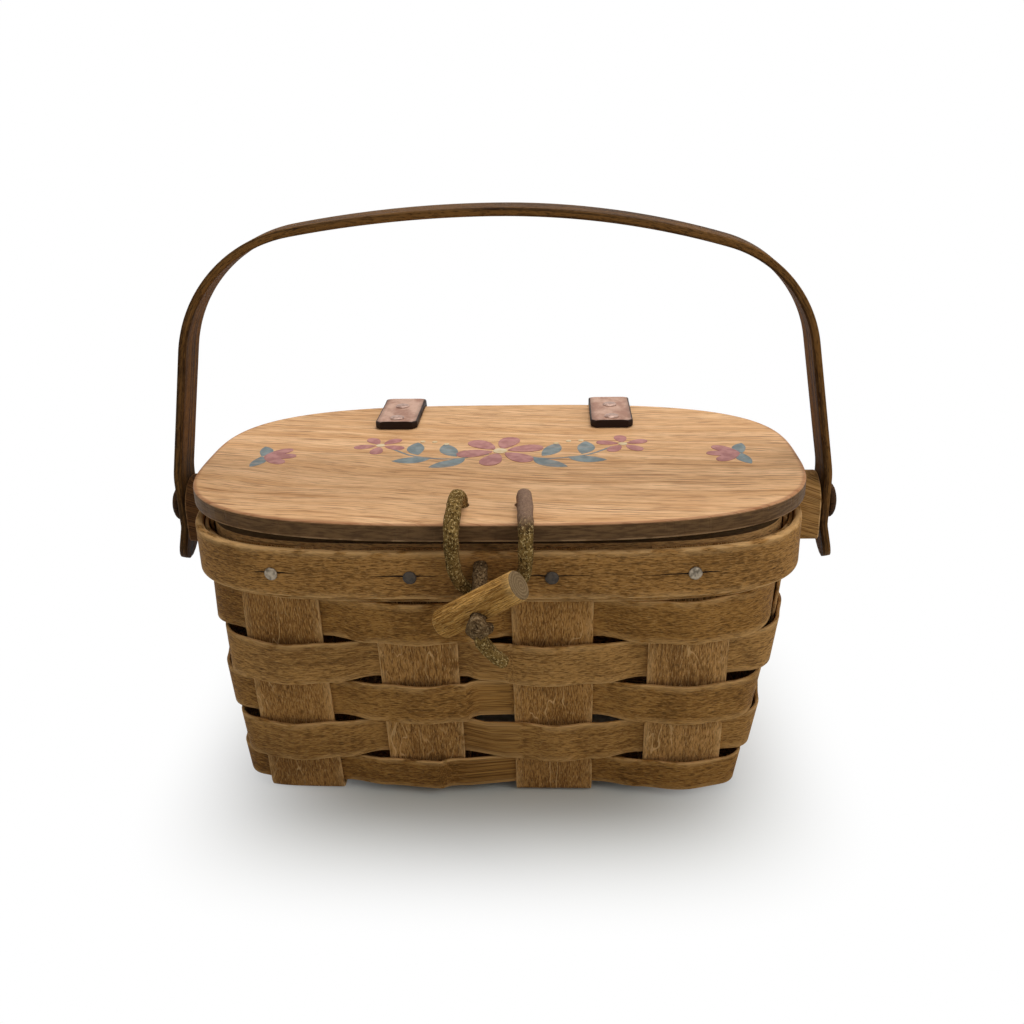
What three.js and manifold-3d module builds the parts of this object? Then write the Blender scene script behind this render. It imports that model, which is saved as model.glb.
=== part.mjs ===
// A small splint-woven picnic basket: woven wall, rim bands, swinging bentwood handle,
// wooden lid on leather hinges, and a suede loop that closes over a wooden toggle.
// Millimetres, +Z up, front towards -Y. The basket stands on z = 0.

import * as THREE from 'three';
import { mergeVertices } from 'three/addons/utils/BufferGeometryUtils.js';
import Module from 'manifold-3d';

const wasm = await Module();
wasm.setup();

// Driving dimensions: clearances and splints
const GAP = 0.3;
const SPLINT_THICKNESS = 1.2;
const STAKE_WIDTH = 26;
const CROSS_STAKE_MARGIN = 7.25;
const CROSS_STAKE_SHIFT = -3.1;
const LONG_STAKE_MARGIN = 11;
const STAKE_BEND_RADIUS = 2.2;
const WEAVER_BULGE = 2.0;
const WEAVER_ROW_GAP = 0.4;
const FOOT_ROW_BOTTOM = 3.2;
const FOOT_ROW_WIDTH = 12.6;

// Driving dimensions: base and rim
const BASE_LENGTH = 171;
const BASE_DEPTH = 87;
const BASE_SQUARENESS = 12;
const BASE_SIDE_SHIFT = -3;
const RIM_LENGTH = 202;
const RIM_DEPTH = 122;
const RIM_SQUARENESS = 4.2;
const RIM_TOP = 99.5;
const RIM_BAND_HEIGHT = 16;
const RIM_BAND_THICKNESS = 2.4;
const UNDER_BAND_DROP = 2.2;
const UNDER_BAND_INSET = 1;
const STAKE_TOP_INSET = 0.7;
const INNER_BAND_PROUD = 2.9;
const INNER_BAND_HEIGHT = 17.4;

// Driving dimensions: nails and rivets
const NAIL_HEAD_DIAMETER = 4.2;
const NAIL_HEAD_HEIGHT = 0.9;
const NAIL_SHANK_DIAMETER = 1.8;
const NAIL_TIP_INSET = 0.6;
const RIVET_HEAD_DIAMETER = 5.4;
const RIVET_HEAD_HEIGHT = 1.5;
const RIVET_SHANK_DIAMETER = 2.6;

// Driving dimensions: lid
const LID_END_OVERHANG = 2;
const LID_FRONT_OVERHANG = 0;
const LID_BACK_OVERHANG = 3;
const LID_THICKNESS = 6;
const LID_SQUARENESS = 3.05;
const LID_EDGE_CHAMFER = 0.8;

// Driving dimensions: handle, ears and pivots
const HANDLE_TOP = 194.5;
const HANDLE_WIDTH = 12.8;
const HANDLE_THICKNESS = 3.2;
const HANDLE_TAIL = 21;
const HANDLE_TAIL_FLARE = 3;
const HANDLE_FLARE_START = 7;
const HANDLE_STRAIGHT = 9.5;
const HANDLE_HIP_RADIUS = 30;
const HANDLE_LEAN = THREE.MathUtils.degToRad(10.1);
const HANDLE_RIGHT_BEND = { corner: 42, crown: 270 };
const HANDLE_LEFT_BEND = { corner: 48, crown: 400 };
const PIVOT_BELOW_RIM_TOP = 7.5;
const PIVOT_SHANK_DIAMETER = 5;
const PIVOT_HEAD_DIAMETER = 12.4;
const PIVOT_HEAD_HEIGHT = 3;
const PIVOT_WASHER_DIAMETER = 11;
const PIVOT_WASHER_THICKNESS = 1.2;
const PIVOT_PEEN_LENGTH = 1;
const EAR_THICKNESS = 9.7;
const EAR_RADIUS = 10.5;
const EAR_DROP = 11.5;
const EAR_CORNER_RADIUS = 2.5;
const EAR_RUNNING_GAP = 0.6;

// Driving dimensions: leather hinge straps
const STRAP_SPACING = 82;
const STRAP_WIDTH = 16;
const STRAP_THICKNESS = 3.2;
const STRAP_REACH = 32;
const STRAP_FOLD_RADIUS = 1.2;
const STRAP_FRONT_RIVET_INSET = 27.5;
const STRAP_BACK_RIVET_INSET = 12;
const STRAP_RIM_RIVET_SPACING = 8;

// Driving dimensions: thongs and toggle
const THONG_DIAMETER = 5.2;
const THONG_SIDES = 8;
const KNOT_RADIUS = 4;
const LOOP_HOLE_SPACING = 20;
const LOOP_HOLE_INSET = 15.5;
const TOGGLE_DIAMETER = 9.5;
const TOGGLE_LENGTH = 31.5;
const TOGGLE_END_CHAMFER = 0.8;
const TOGGLE_THONG_X = -3;
const TOGGLE_THONG_Z = 95.2;

// Toggle's middle, its lengthwise direction and the direction of its drilled hole
const TOGGLE_CENTRE = new THREE.Vector3(-2.9, -73.4, 88.0);
const TOGGLE_AXIS = new THREE.Vector3(0.778, -0.281, 0.562).normalize();
const TOGGLE_HOLE = new THREE.Vector3(0, -0.871, -0.489).projectOnPlane(TOGGLE_AXIS).normalize();

// Centreline of the lid's loop, from the left hole to its lowest point; the right half mirrors it
const LOOP_ROUTE = [
  [-10.0, -45.5, 103.1],
  [-10.0, -45.5, 108.2],
  [-10.1, -46.8, 111.4],
  [-10.3, -49.8, 113.2],
  [-10.6, -54.0, 113.4],
  [-10.8, -58.6, 112.5],
  [-11.0, -62.6, 110.4],
  [-11.1, -65.8, 106.4],
  [-11.0, -66.5, 101.0],
  [-10.6, -65.3, 95.8],
  [-8.9, -64.3, 91.0],
  [-5.2, -63.9, 87.4],
  [0.0, -63.9, 86.0],
];

// Centreline of the toggle's thong, from the knot inside the rim to the knot under the toggle
const TOGGLE_THONG_ROUTE = [
  [-3.0, -49.0, 95.2],
  [-3.0, -56.0, 95.2],
  [-3.0, -61.6, 94.6],
  TOGGLE_CENTRE.clone().addScaledVector(TOGGLE_HOLE, -9).toArray(),
  TOGGLE_CENTRE.clone().addScaledVector(TOGGLE_HOLE, -6).toArray(),
  TOGGLE_CENTRE.toArray(),
  TOGGLE_CENTRE.clone().addScaledVector(TOGGLE_HOLE, 6).toArray(),
  TOGGLE_CENTRE.clone().addScaledVector(TOGGLE_HOLE, 9).toArray(),
];

// Centreline of the thong's loose tail below the outer knot
const TOGGLE_TAIL_ROUTE = [
  [-2.6, -81.1, 83.6],
  [-1.4, -80.5, 79.2],
  [1.2, -78.7, 74.6],
  [4.2, -76.5, 70.6],
];

// Sizes that follow from the driving dimensions
const HALF_SPLINT = SPLINT_THICKNESS / 2;
const LAYER = SPLINT_THICKNESS + GAP;
const BAND_BOTTOM = RIM_TOP - RIM_BAND_HEIGHT;
const UNDER_BAND_BOTTOM = BAND_BOTTOM - UNDER_BAND_DROP;
const INNER_BAND_TOP = RIM_TOP + INNER_BAND_PROUD;
const STAKE_TOP = RIM_TOP - STAKE_TOP_INSET;
const UNDER_BAND_DEPTH = RIM_BAND_THICKNESS + GAP;
const STAKE_DEPTH = UNDER_BAND_DEPTH + LAYER + HALF_SPLINT;
const INNER_BAND_DEPTH = STAKE_DEPTH + HALF_SPLINT + GAP;
const RIM_STACK = INNER_BAND_DEPTH + RIM_BAND_THICKNESS;
const LID_LENGTH = RIM_LENGTH + 2 * LID_END_OVERHANG;
const LID_DEPTH = RIM_DEPTH + LID_FRONT_OVERHANG + LID_BACK_OVERHANG;
const LID_SET_BACK = (LID_BACK_OVERHANG - LID_FRONT_OVERHANG) / 2;
const LID_FRONT_EDGE = -RIM_DEPTH / 2 - LID_FRONT_OVERHANG;
const LID_BACK_EDGE = RIM_DEPTH / 2 + LID_BACK_OVERHANG;
const LID_BOTTOM = INNER_BAND_TOP + GAP;
const LID_TOP = LID_BOTTOM + LID_THICKNESS;
const PIVOT_Z = RIM_TOP - PIVOT_BELOW_RIM_TOP;
const ARM_X = RIM_LENGTH / 2 + GAP + EAR_THICKNESS + EAR_RUNNING_GAP + HANDLE_THICKNESS / 2;
const BASE_LEVELS = [HALF_SPLINT, HALF_SPLINT + LAYER];
const CROSS_STAKE_PITCH = (BASE_LENGTH - 2 * CROSS_STAKE_MARGIN - STAKE_WIDTH) / 3;
const LONG_STAKE_PITCH = BASE_DEPTH - 2 * LONG_STAKE_MARGIN - STAKE_WIDTH;
const CROSS_STAKES = [-1.5, -0.5, 0.5, 1.5].map((step) => CROSS_STAKE_SHIFT + step * CROSS_STAKE_PITCH);
const LONG_STAKES = [-0.5, 0.5].map((step) => step * LONG_STAKE_PITCH);
const ROW_COUNT = 5;
const FOOT_ROW_TOP = FOOT_ROW_BOTTOM + FOOT_ROW_WIDTH;
const ROW_PITCH = (UNDER_BAND_BOTTOM - FOOT_ROW_TOP) / (ROW_COUNT - 1);
const ROW_TOPS = Array.from({ length: ROW_COUNT }, (_, row) => FOOT_ROW_TOP + row * ROW_PITCH);

// Materials
function finish(colour, roughness, metalness = 0) {
  return new THREE.MeshStandardMaterial({ color: colour, roughness, metalness, flatShading: true });
}

const STAKE_WOOD = 0x8a6237;
const WEAVER_WOOD = 0x805a32;
const RIM_WOOD = 0x84592f;
const LID_WOOD = 0xc08b52;
const HANDLE_WOOD = 0x5f3f25;
const TOGGLE_WOOD = 0xc18a4b;
const STRAP_LEATHER = 0x6b3a26;
const THONG_SUEDE = 0x6a5530;
const NAIL_STEEL = 0x8d8f92;
const PIVOT_DARK = 0x2b1d15;

// Outlines: a superellipse with its middle at x = c, half sizes a and b and a squareness n
function wallAt(z) {
  const t = THREE.MathUtils.clamp(z / UNDER_BAND_BOTTOM, 0, 1);
  return {
    a: THREE.MathUtils.lerp(BASE_LENGTH / 2, RIM_LENGTH / 2 - STAKE_DEPTH, t),
    b: THREE.MathUtils.lerp(BASE_DEPTH / 2, RIM_DEPTH / 2 - STAKE_DEPTH, t),
    n: THREE.MathUtils.lerp(BASE_SQUARENESS, RIM_SQUARENESS, t),
    c: THREE.MathUtils.lerp(BASE_SIDE_SHIFT, 0, t),
  };
}

const RIM_OUTLINE = { a: RIM_LENGTH / 2, b: RIM_DEPTH / 2, n: RIM_SQUARENESS, c: 0 };
const LID_OUTLINE = { a: LID_LENGTH / 2, b: LID_DEPTH / 2, n: LID_SQUARENESS, c: 0 };

function outlineNormal(outline, x, y) {
  const out = x - outline.c;
  const normal = new THREE.Vector2(
    Math.sign(out) * Math.abs(out / outline.a) ** (outline.n - 1) / outline.a,
    Math.sign(y) * Math.abs(y / outline.b) ** (outline.n - 1) / outline.b,
  );
  return normal.normalize();
}

function outlineY(outline, x) {
  return outline.b * (1 - Math.abs((x - outline.c) / outline.a) ** outline.n) ** (1 / outline.n);
}

function outlineX(outline, y, side) {
  return outline.c + side * outline.a * (1 - Math.abs(y / outline.b) ** outline.n) ** (1 / outline.n);
}

function outlinePoint(outline, angle, offset) {
  const c = Math.cos(angle);
  const s = Math.sin(angle);
  const x = outline.c + outline.a * Math.sign(c) * Math.abs(c) ** (2 / outline.n);
  const y = outline.b * Math.sign(s) * Math.abs(s) ** (2 / outline.n);
  return new THREE.Vector2(x, y).addScaledVector(outlineNormal(outline, x, y), offset);
}

function onCircle(centre, radius, turn) {
  return new THREE.Vector2(centre.x + radius * Math.cos(turn), centre.y + radius * Math.sin(turn));
}

// Angles round an outline; its points lie close together at the corners and far apart on the flats
function roundAngles(count) {
  return Array.from({ length: count }, (_, i) => (i / count) * Math.PI * 2);
}

// A bent strip: rows of matching outer and inner points, open with end caps or closed to a hoop
function strip(rows, closed = false) {
  const across = rows[0].outer.length;
  const positions = [];
  for (const row of rows) {
    for (const point of [...row.outer, ...row.inner]) {
      positions.push(point.x, point.y, point.z);
    }
  }
  const index = [];
  const quad = (a, b, c, d) => index.push(a, b, c, a, c, d);
  const last = closed ? rows.length : rows.length - 1;
  for (let r = 0; r < last; r += 1) {
    const here = r * across * 2;
    const next = ((r + 1) % rows.length) * across * 2;
    for (let i = 0; i < across - 1; i += 1) {
      quad(here + i, next + i, next + i + 1, here + i + 1);
      quad(here + across + i, here + across + i + 1, next + across + i + 1, next + across + i);
    }
    quad(here, here + across, next + across, next);
    quad(here + across - 1, next + across - 1, next + 2 * across - 1, here + 2 * across - 1);
  }
  if (!closed) {
    const end = (rows.length - 1) * across * 2;
    for (let i = 0; i < across - 1; i += 1) {
      quad(i, i + 1, across + i + 1, across + i);
      quad(end + i, end + across + i, end + across + i + 1, end + i + 1);
    }
  }
  const geometry = new THREE.BufferGeometry();
  geometry.setAttribute('position', new THREE.Float32BufferAttribute(positions, 3));
  geometry.setIndex(index);
  return facingOut(geometry);
}

function facingOut(geometry) {
  const p = geometry.getAttribute('position');
  const index = geometry.getIndex().array;
  const [a, b, c] = [new THREE.Vector3(), new THREE.Vector3(), new THREE.Vector3()];
  let volume = 0;
  for (let i = 0; i < index.length; i += 3) {
    a.fromBufferAttribute(p, index[i]);
    b.fromBufferAttribute(p, index[i + 1]);
    c.fromBufferAttribute(p, index[i + 2]);
    volume += a.dot(b.cross(c));
  }
  if (volume < 0) {
    geometry.setIndex([...index].reverse());
  }
  return geometry;
}

// Joining and cutting
function toSolid(geometry) {
  const bare = geometry.clone();
  bare.deleteAttribute('normal');
  bare.deleteAttribute('uv');
  const merged = mergeVertices(bare, 1e-4);
  return new wasm.Manifold(new wasm.Mesh({
    numProp: 3,
    vertProperties: Float32Array.from(merged.getAttribute('position').array),
    triVerts: Uint32Array.from(merged.getIndex().array),
  }));
}

function toGeometry(solid) {
  const mesh = solid.getMesh();
  const geometry = new THREE.BufferGeometry();
  geometry.setAttribute('position', new THREE.Float32BufferAttribute(mesh.vertProperties, 3));
  geometry.setIndex(Array.from(mesh.triVerts));
  return geometry;
}

function cut(geometry, cutters) {
  let solid = toSolid(geometry);
  for (const cutter of cutters) {
    solid = solid.subtract(toSolid(cutter));
  }
  return toGeometry(solid);
}

function join(geometries) {
  let solid = toSolid(geometries[0]);
  for (const other of geometries.slice(1)) {
    solid = solid.add(toSolid(other));
  }
  return toGeometry(solid);
}

// Round pieces are turned about +Y, then laid along a direction
const TURNING_AXIS = new THREE.Vector3(0, 1, 0);

function layAlong(geometry, direction, position) {
  const turn = new THREE.Quaternion().setFromUnitVectors(TURNING_AXIS, direction);
  return geometry.applyQuaternion(turn).translate(position.x, position.y, position.z);
}

function rod(diameter, length, direction, middle, sides = 8) {
  return layAlong(new THREE.CylinderGeometry(diameter / 2, diameter / 2, length, sides), direction, middle);
}

// A fastener with a domed head; its head's underside is at the origin and its shank runs down -Y
function fastener(headDiameter, headHeight, shankDiameter, shankLength, sides) {
  const head = headDiameter / 2;
  const shank = shankDiameter / 2;
  const profile = [
    new THREE.Vector2(0, -shankLength),
    new THREE.Vector2(shank, -shankLength),
    new THREE.Vector2(shank, 0),
    new THREE.Vector2(head, 0),
    new THREE.Vector2(head, headHeight * 0.35),
    new THREE.Vector2(head * 0.62, headHeight * 0.85),
    new THREE.Vector2(0, headHeight),
  ];
  return new THREE.LatheGeometry(profile, sides);
}

function tube(route, diameter, steps) {
  const section = new THREE.Shape();
  section.absarc(0, 0, diameter / 2, 0, Math.PI * 2);
  const curve = new THREE.CatmullRomCurve3(route.map((point) => new THREE.Vector3(...point)));
  const outline = new THREE.Shape(section.getSpacedPoints(THONG_SIDES).slice(0, THONG_SIDES));
  return new THREE.ExtrudeGeometry(outline, { extrudePath: curve, steps, bevelEnabled: false });
}

function knot(position) {
  return new THREE.SphereGeometry(KNOT_RADIUS, 10, 6).translate(position.x, position.y, position.z);
}

// The basket's pieces, gathered in one group
const basket = new THREE.Group();
const piece = (name, geometry, material) => {
  const mesh = new THREE.Mesh(geometry, material);
  mesh.name = name;
  basket.add(mesh);
  return mesh;
};

// Nails: one through the rim at each stake end, square to the rim's face
function rimSpot(x, y) {
  const normal = outlineNormal(RIM_OUTLINE, x, y);
  return { point: new THREE.Vector3(x, y, 0), normal: new THREE.Vector3(normal.x, normal.y, 0) };
}

const NAIL_Z = RIM_TOP - RIM_BAND_HEIGHT / 2;
const nailSpots = [];
for (const x of CROSS_STAKES) {
  nailSpots.push(rimSpot(x, -outlineY(RIM_OUTLINE, x)));
}
for (const y of LONG_STAKES) {
  nailSpots.push(rimSpot(outlineX(RIM_OUTLINE, y, 1), y));
}
for (const x of CROSS_STAKES.toReversed()) {
  nailSpots.push(rimSpot(x, outlineY(RIM_OUTLINE, x)));
}
for (const y of LONG_STAKES.toReversed()) {
  nailSpots.push(rimSpot(outlineX(RIM_OUTLINE, y, -1), y));
}
for (const spot of nailSpots) {
  spot.point.z = NAIL_Z;
}

const nailBores = nailSpots.map(({ point, normal }) => (
  rod(NAIL_SHANK_DIAMETER + 2 * GAP, 4 * RIM_STACK, normal, point, 6)
));

const NAIL_LENGTH = GAP + RIM_STACK - NAIL_TIP_INSET;
nailSpots.forEach(({ point, normal }, i) => {
  const nail = fastener(NAIL_HEAD_DIAMETER, NAIL_HEAD_HEIGHT, NAIL_SHANK_DIAMETER, NAIL_LENGTH, 8);
  const seat = point.clone().addScaledVector(normal, GAP);
  const name = `rim_nail_${String(i + 1).padStart(2, '0')}`;
  piece(name, layAlong(nail, normal, seat), finish(NAIL_STEEL, 0.45, 0.8));
});

// Stakes: each runs down a wall, round the base's edge, across the base and up the far wall
const ACROSS_STAKE = [-2, -1, 0, 1, 2].map((step) => step * STAKE_WIDTH / 4);
const BEND_ROWS = 3;
const CROSSING_MARGIN = 1.2;

// A row of a stake on the wall; side is -1 or +1, and spot turns (along, across) into (x, y)
function wallRow(middle, z, side, onEnd) {
  const outline = wallAt(z);
  const points = { outer: [], inner: [] };
  for (const offset of ACROSS_STAKE) {
    const along = onEnd ? middle - offset : middle + offset;
    const x = onEnd ? outlineX(outline, along, side) : along;
    const y = onEnd ? along : side * outlineY(outline, along);
    const normal = outlineNormal(outline, x, y).multiplyScalar(HALF_SPLINT);
    points.outer.push(new THREE.Vector3(x + normal.x, y + normal.y, z));
    points.inner.push(new THREE.Vector3(x - normal.x, y - normal.y, z));
  }
  return points;
}

// A row of a stake in the bend between wall and base, at a turn from 0 (wall) to 90 degrees (base)
function bendRow(middle, level, turn, side, onEnd) {
  const z = level + STAKE_BEND_RADIUS;
  const outline = wallAt(z);
  const points = { outer: [], inner: [] };
  for (const offset of ACROSS_STAKE) {
    const along = onEnd ? middle - offset : middle + offset;
    const wall = onEnd ? outlineX(outline, along, side) : side * outlineY(outline, along);
    const bendMiddle = wall - side * STAKE_BEND_RADIUS;
    for (const [face, radius] of [
      ['outer', STAKE_BEND_RADIUS + HALF_SPLINT],
      ['inner', STAKE_BEND_RADIUS - HALF_SPLINT],
    ]) {
      const out = bendMiddle + side * radius * Math.cos(turn);
      const height = z - radius * Math.sin(turn);
      points[face].push(new THREE.Vector3(onEnd ? out : along, onEnd ? along : out, height));
    }
  }
  return points;
}

function baseRow(middle, out, level, onEnd) {
  const points = { outer: [], inner: [] };
  for (const offset of ACROSS_STAKE) {
    const along = onEnd ? middle - offset : middle + offset;
    const x = onEnd ? out : along;
    const y = onEnd ? along : out;
    points.outer.push(new THREE.Vector3(x, y, level - HALF_SPLINT));
    points.inner.push(new THREE.Vector3(x, y, level + HALF_SPLINT));
  }
  return points;
}

function stake(middle, crossings, levels, onEnd) {
  const rows = [];
  const foot = (level) => level + STAKE_BEND_RADIUS;
  const heights = (level) => [foot(level), ...ROW_TOPS];
  const turns = Array.from({ length: BEND_ROWS }, (_, i) => ((i + 1) / BEND_ROWS) * Math.PI / 2);
  const first = levels[0];
  const final = levels[levels.length - 1];
  rows.push(wallRow(middle, STAKE_TOP, -1, onEnd));
  for (const z of heights(first).toReversed()) {
    rows.push(wallRow(middle, z, -1, onEnd));
  }
  for (const turn of turns) {
    rows.push(bendRow(middle, first, turn, -1, onEnd));
  }
  const half = STAKE_WIDTH / 2 + CROSSING_MARGIN;
  for (let i = 0; i < crossings.length; i += 1) {
    if (i > 0) {
      rows.push(baseRow(middle, crossings[i] - half, levels[i], onEnd));
    }
    if (i < crossings.length - 1) {
      rows.push(baseRow(middle, crossings[i] + half, levels[i], onEnd));
    }
  }
  for (const turn of turns.toReversed()) {
    rows.push(bendRow(middle, final, turn, 1, onEnd));
  }
  for (const z of heights(final)) {
    rows.push(wallRow(middle, z, 1, onEnd));
  }
  rows.push(wallRow(middle, STAKE_TOP, 1, onEnd));
  return strip(rows);
}

CROSS_STAKES.forEach((x, i) => {
  const levels = LONG_STAKES.map((_, j) => BASE_LEVELS[(i + j) % 2]);
  const solid = cut(stake(x, LONG_STAKES, levels, false), nailBores);
  piece(`cross_stake_${i + 1}`, solid, finish(STAKE_WOOD, 0.6));
});

LONG_STAKES.forEach((y, j) => {
  const levels = CROSS_STAKES.map((_, i) => BASE_LEVELS[(i + j + 1) % 2]);
  const solid = cut(stake(y, CROSS_STAKES, levels, true), nailBores);
  piece(`long_stake_${j + 1}`, solid, finish(STAKE_WOOD, 0.6));
});

// Weavers: hoops that pass outside and inside of the stakes in turn
function angleByX(outline, x, side) {
  const out = x - outline.c;
  const lean = Math.acos(Math.min(1, Math.abs(out / outline.a)) ** (outline.n / 2));
  return side * (out < 0 ? Math.PI - lean : lean);
}

function angleByY(outline, y, side) {
  const lean = Math.asin(Math.min(1, Math.abs(y / outline.b)) ** (outline.n / 2));
  const angle = side < 0 ? Math.PI - lean : lean;
  return y < 0 ? -angle : angle;
}

// Where the stakes meet a hoop, in order round it from the front's left stake, as angles across each
const HALF_CROSSING = STAKE_WIDTH / 2 + CROSSING_MARGIN;
const CROSSING_STATIONS = [-HALF_CROSSING, ...ACROSS_STAKE, HALF_CROSSING];

function crossingAngles(outline) {
  const stations = CROSSING_STATIONS;
  const front = CROSS_STAKES.map((x) => stations.map((e) => angleByX(outline, x + e, -1)));
  const right = LONG_STAKES.map((y) => stations.map((e) => angleByY(outline, y + e, 1)));
  const back = CROSS_STAKES.map((x) => stations.map((e) => angleByX(outline, x - e, 1)));
  const left = LONG_STAKES.map((y) => stations.map((e) => angleByY(outline, y - e, -1)));
  const spans = [...front, ...right, ...back.toReversed(), ...left.toReversed()];
  const start = spans[0][0];
  const turned = (angle) => (angle < start - 1e-9 ? angle + Math.PI * 2 : angle);
  return spans.map((span) => span.map(turned));
}

const GAP_STATIONS = 2;
const CORNER_STATIONS = 7;
const STAKES_BEFORE_CORNERS = [3, 5, 9, 11];

function weaver(bottom, top, firstSide) {
  const edges = [top, bottom].map((z) => {
    const outline = wallAt(z);
    return { z, outline, spans: crossingAngles(outline) };
  });
  const rows = [];
  const addRow = (angleAt, offset) => {
    const row = { outer: [], inner: [] };
    for (const edge of edges) {
      const angle = angleAt(edge.spans);
      const out = outlinePoint(edge.outline, angle, offset + HALF_SPLINT);
      const inside = outlinePoint(edge.outline, angle, offset - HALF_SPLINT);
      row.outer.push(new THREE.Vector3(out.x, out.y, edge.z));
      row.inner.push(new THREE.Vector3(inside.x, inside.y, edge.z));
    }
    rows.push(row);
  };
  const count = edges[0].spans.length;
  const last = CROSSING_STATIONS.length - 1;
  for (let i = 0; i < count; i += 1) {
    const side = i % 2 === 0 ? firstSide : -firstSide;
    const bulge = side > 0 ? WEAVER_BULGE : 0;
    CROSSING_STATIONS.forEach((station, k) => {
      const share = (station + HALF_CROSSING) / (2 * HALF_CROSSING);
      const swell = bulge * Math.sin(share * Math.PI) ** 2;
      addRow((spans) => spans[i][k], side * LAYER + swell);
    });
    const next = (spans) => (i + 1 < count ? spans[i + 1][0] : spans[0][0] + Math.PI * 2);
    const stations = STAKES_BEFORE_CORNERS.includes(i) ? CORNER_STATIONS : GAP_STATIONS;
    for (let k = 1; k <= stations; k += 1) {
      const share = k / (stations + 1);
      const angleAt = (spans) => THREE.MathUtils.lerp(spans[i][last], next(spans), share);
      addRow(angleAt, side * LAYER * Math.cos(share * Math.PI));
    }
  }
  return strip(rows, true);
}

for (let row = 0; row < ROW_COUNT; row += 1) {
  const top = ROW_TOPS[row] - WEAVER_ROW_GAP / 2;
  const bottom = row > 0 ? ROW_TOPS[row - 1] + WEAVER_ROW_GAP / 2 : FOOT_ROW_BOTTOM;
  const firstSide = row % 2 === 0 ? -1 : 1;
  piece(`weaver_${row + 1}`, weaver(bottom, top, firstSide), finish(WEAVER_WOOD, 0.6));
}

// Rim bands, bored for the nails, pivots, strap rivets and the toggle's thong
function rimInset(depth) {
  return { a: RIM_OUTLINE.a - depth, b: RIM_OUTLINE.b - depth, n: RIM_OUTLINE.n, c: 0 };
}

function band(depth, thickness, bottom, top) {
  const rows = roundAngles(64).map((angle) => {
    const out = outlinePoint(rimInset(depth), angle, 0);
    const inside = outlinePoint(rimInset(depth + thickness), angle, 0);
    const at = (point) => [bottom, top].map((z) => new THREE.Vector3(point.x, point.y, z));
    return { outer: at(out), inner: at(inside) };
  });
  return strip(rows, true);
}

const SIDES = [['left', -1], ['right', 1]];
const ALONG_X = new THREE.Vector3(1, 0, 0);
const BACKWARDS = new THREE.Vector3(0, 1, 0);
const UPWARDS = new THREE.Vector3(0, 0, 1);
const STRAP_MIDDLE_X = STRAP_SPACING / 2;
const STRAP_INNER_X = STRAP_MIDDLE_X - STRAP_WIDTH / 2;
const RIM_BACK_Y = outlineY(RIM_OUTLINE, STRAP_INNER_X);
const RIM_RIVETS_Z = [-0.5, 0.5].map((step) => NAIL_Z + step * STRAP_RIM_RIVET_SPACING);

const PIVOT_BORE = 4 * (EAR_THICKNESS + RIM_STACK);
const pivotBores = SIDES.map(([, side]) => (
  rod(PIVOT_SHANK_DIAMETER + 2 * GAP, PIVOT_BORE, ALONG_X, new THREE.Vector3(side * ARM_X, 0, PIVOT_Z), 14)
));
const rimRivetBores = [];
for (const [, side] of SIDES) {
  for (const z of RIM_RIVETS_Z) {
    const middle = new THREE.Vector3(side * STRAP_MIDDLE_X, RIM_BACK_Y, z);
    rimRivetBores.push(rod(RIVET_SHANK_DIAMETER + 2 * GAP, 4 * RIM_STACK, BACKWARDS, middle));
  }
}
const thongRimBore = rod(
  THONG_DIAMETER + 4 * GAP,
  4 * RIM_STACK,
  BACKWARDS,
  new THREE.Vector3(TOGGLE_THONG_X, -RIM_DEPTH / 2, TOGGLE_THONG_Z),
);
const rimBores = [...nailBores, ...pivotBores, ...rimRivetBores, thongRimBore];

const outerBand = band(0, RIM_BAND_THICKNESS, BAND_BOTTOM, RIM_TOP);
piece('outer_rim_band', cut(outerBand, rimBores), finish(RIM_WOOD, 0.55));
const underBand = band(UNDER_BAND_DEPTH, SPLINT_THICKNESS, UNDER_BAND_BOTTOM, RIM_TOP - UNDER_BAND_INSET);
piece('under_rim_band', cut(underBand, rimBores), finish(RIM_WOOD, 0.6));
const innerBand = band(
  INNER_BAND_DEPTH,
  RIM_BAND_THICKNESS,
  INNER_BAND_TOP - INNER_BAND_HEIGHT,
  INNER_BAND_TOP,
);
piece('inner_rim_band', cut(innerBand, rimBores), finish(RIM_WOOD, 0.6));

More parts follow.
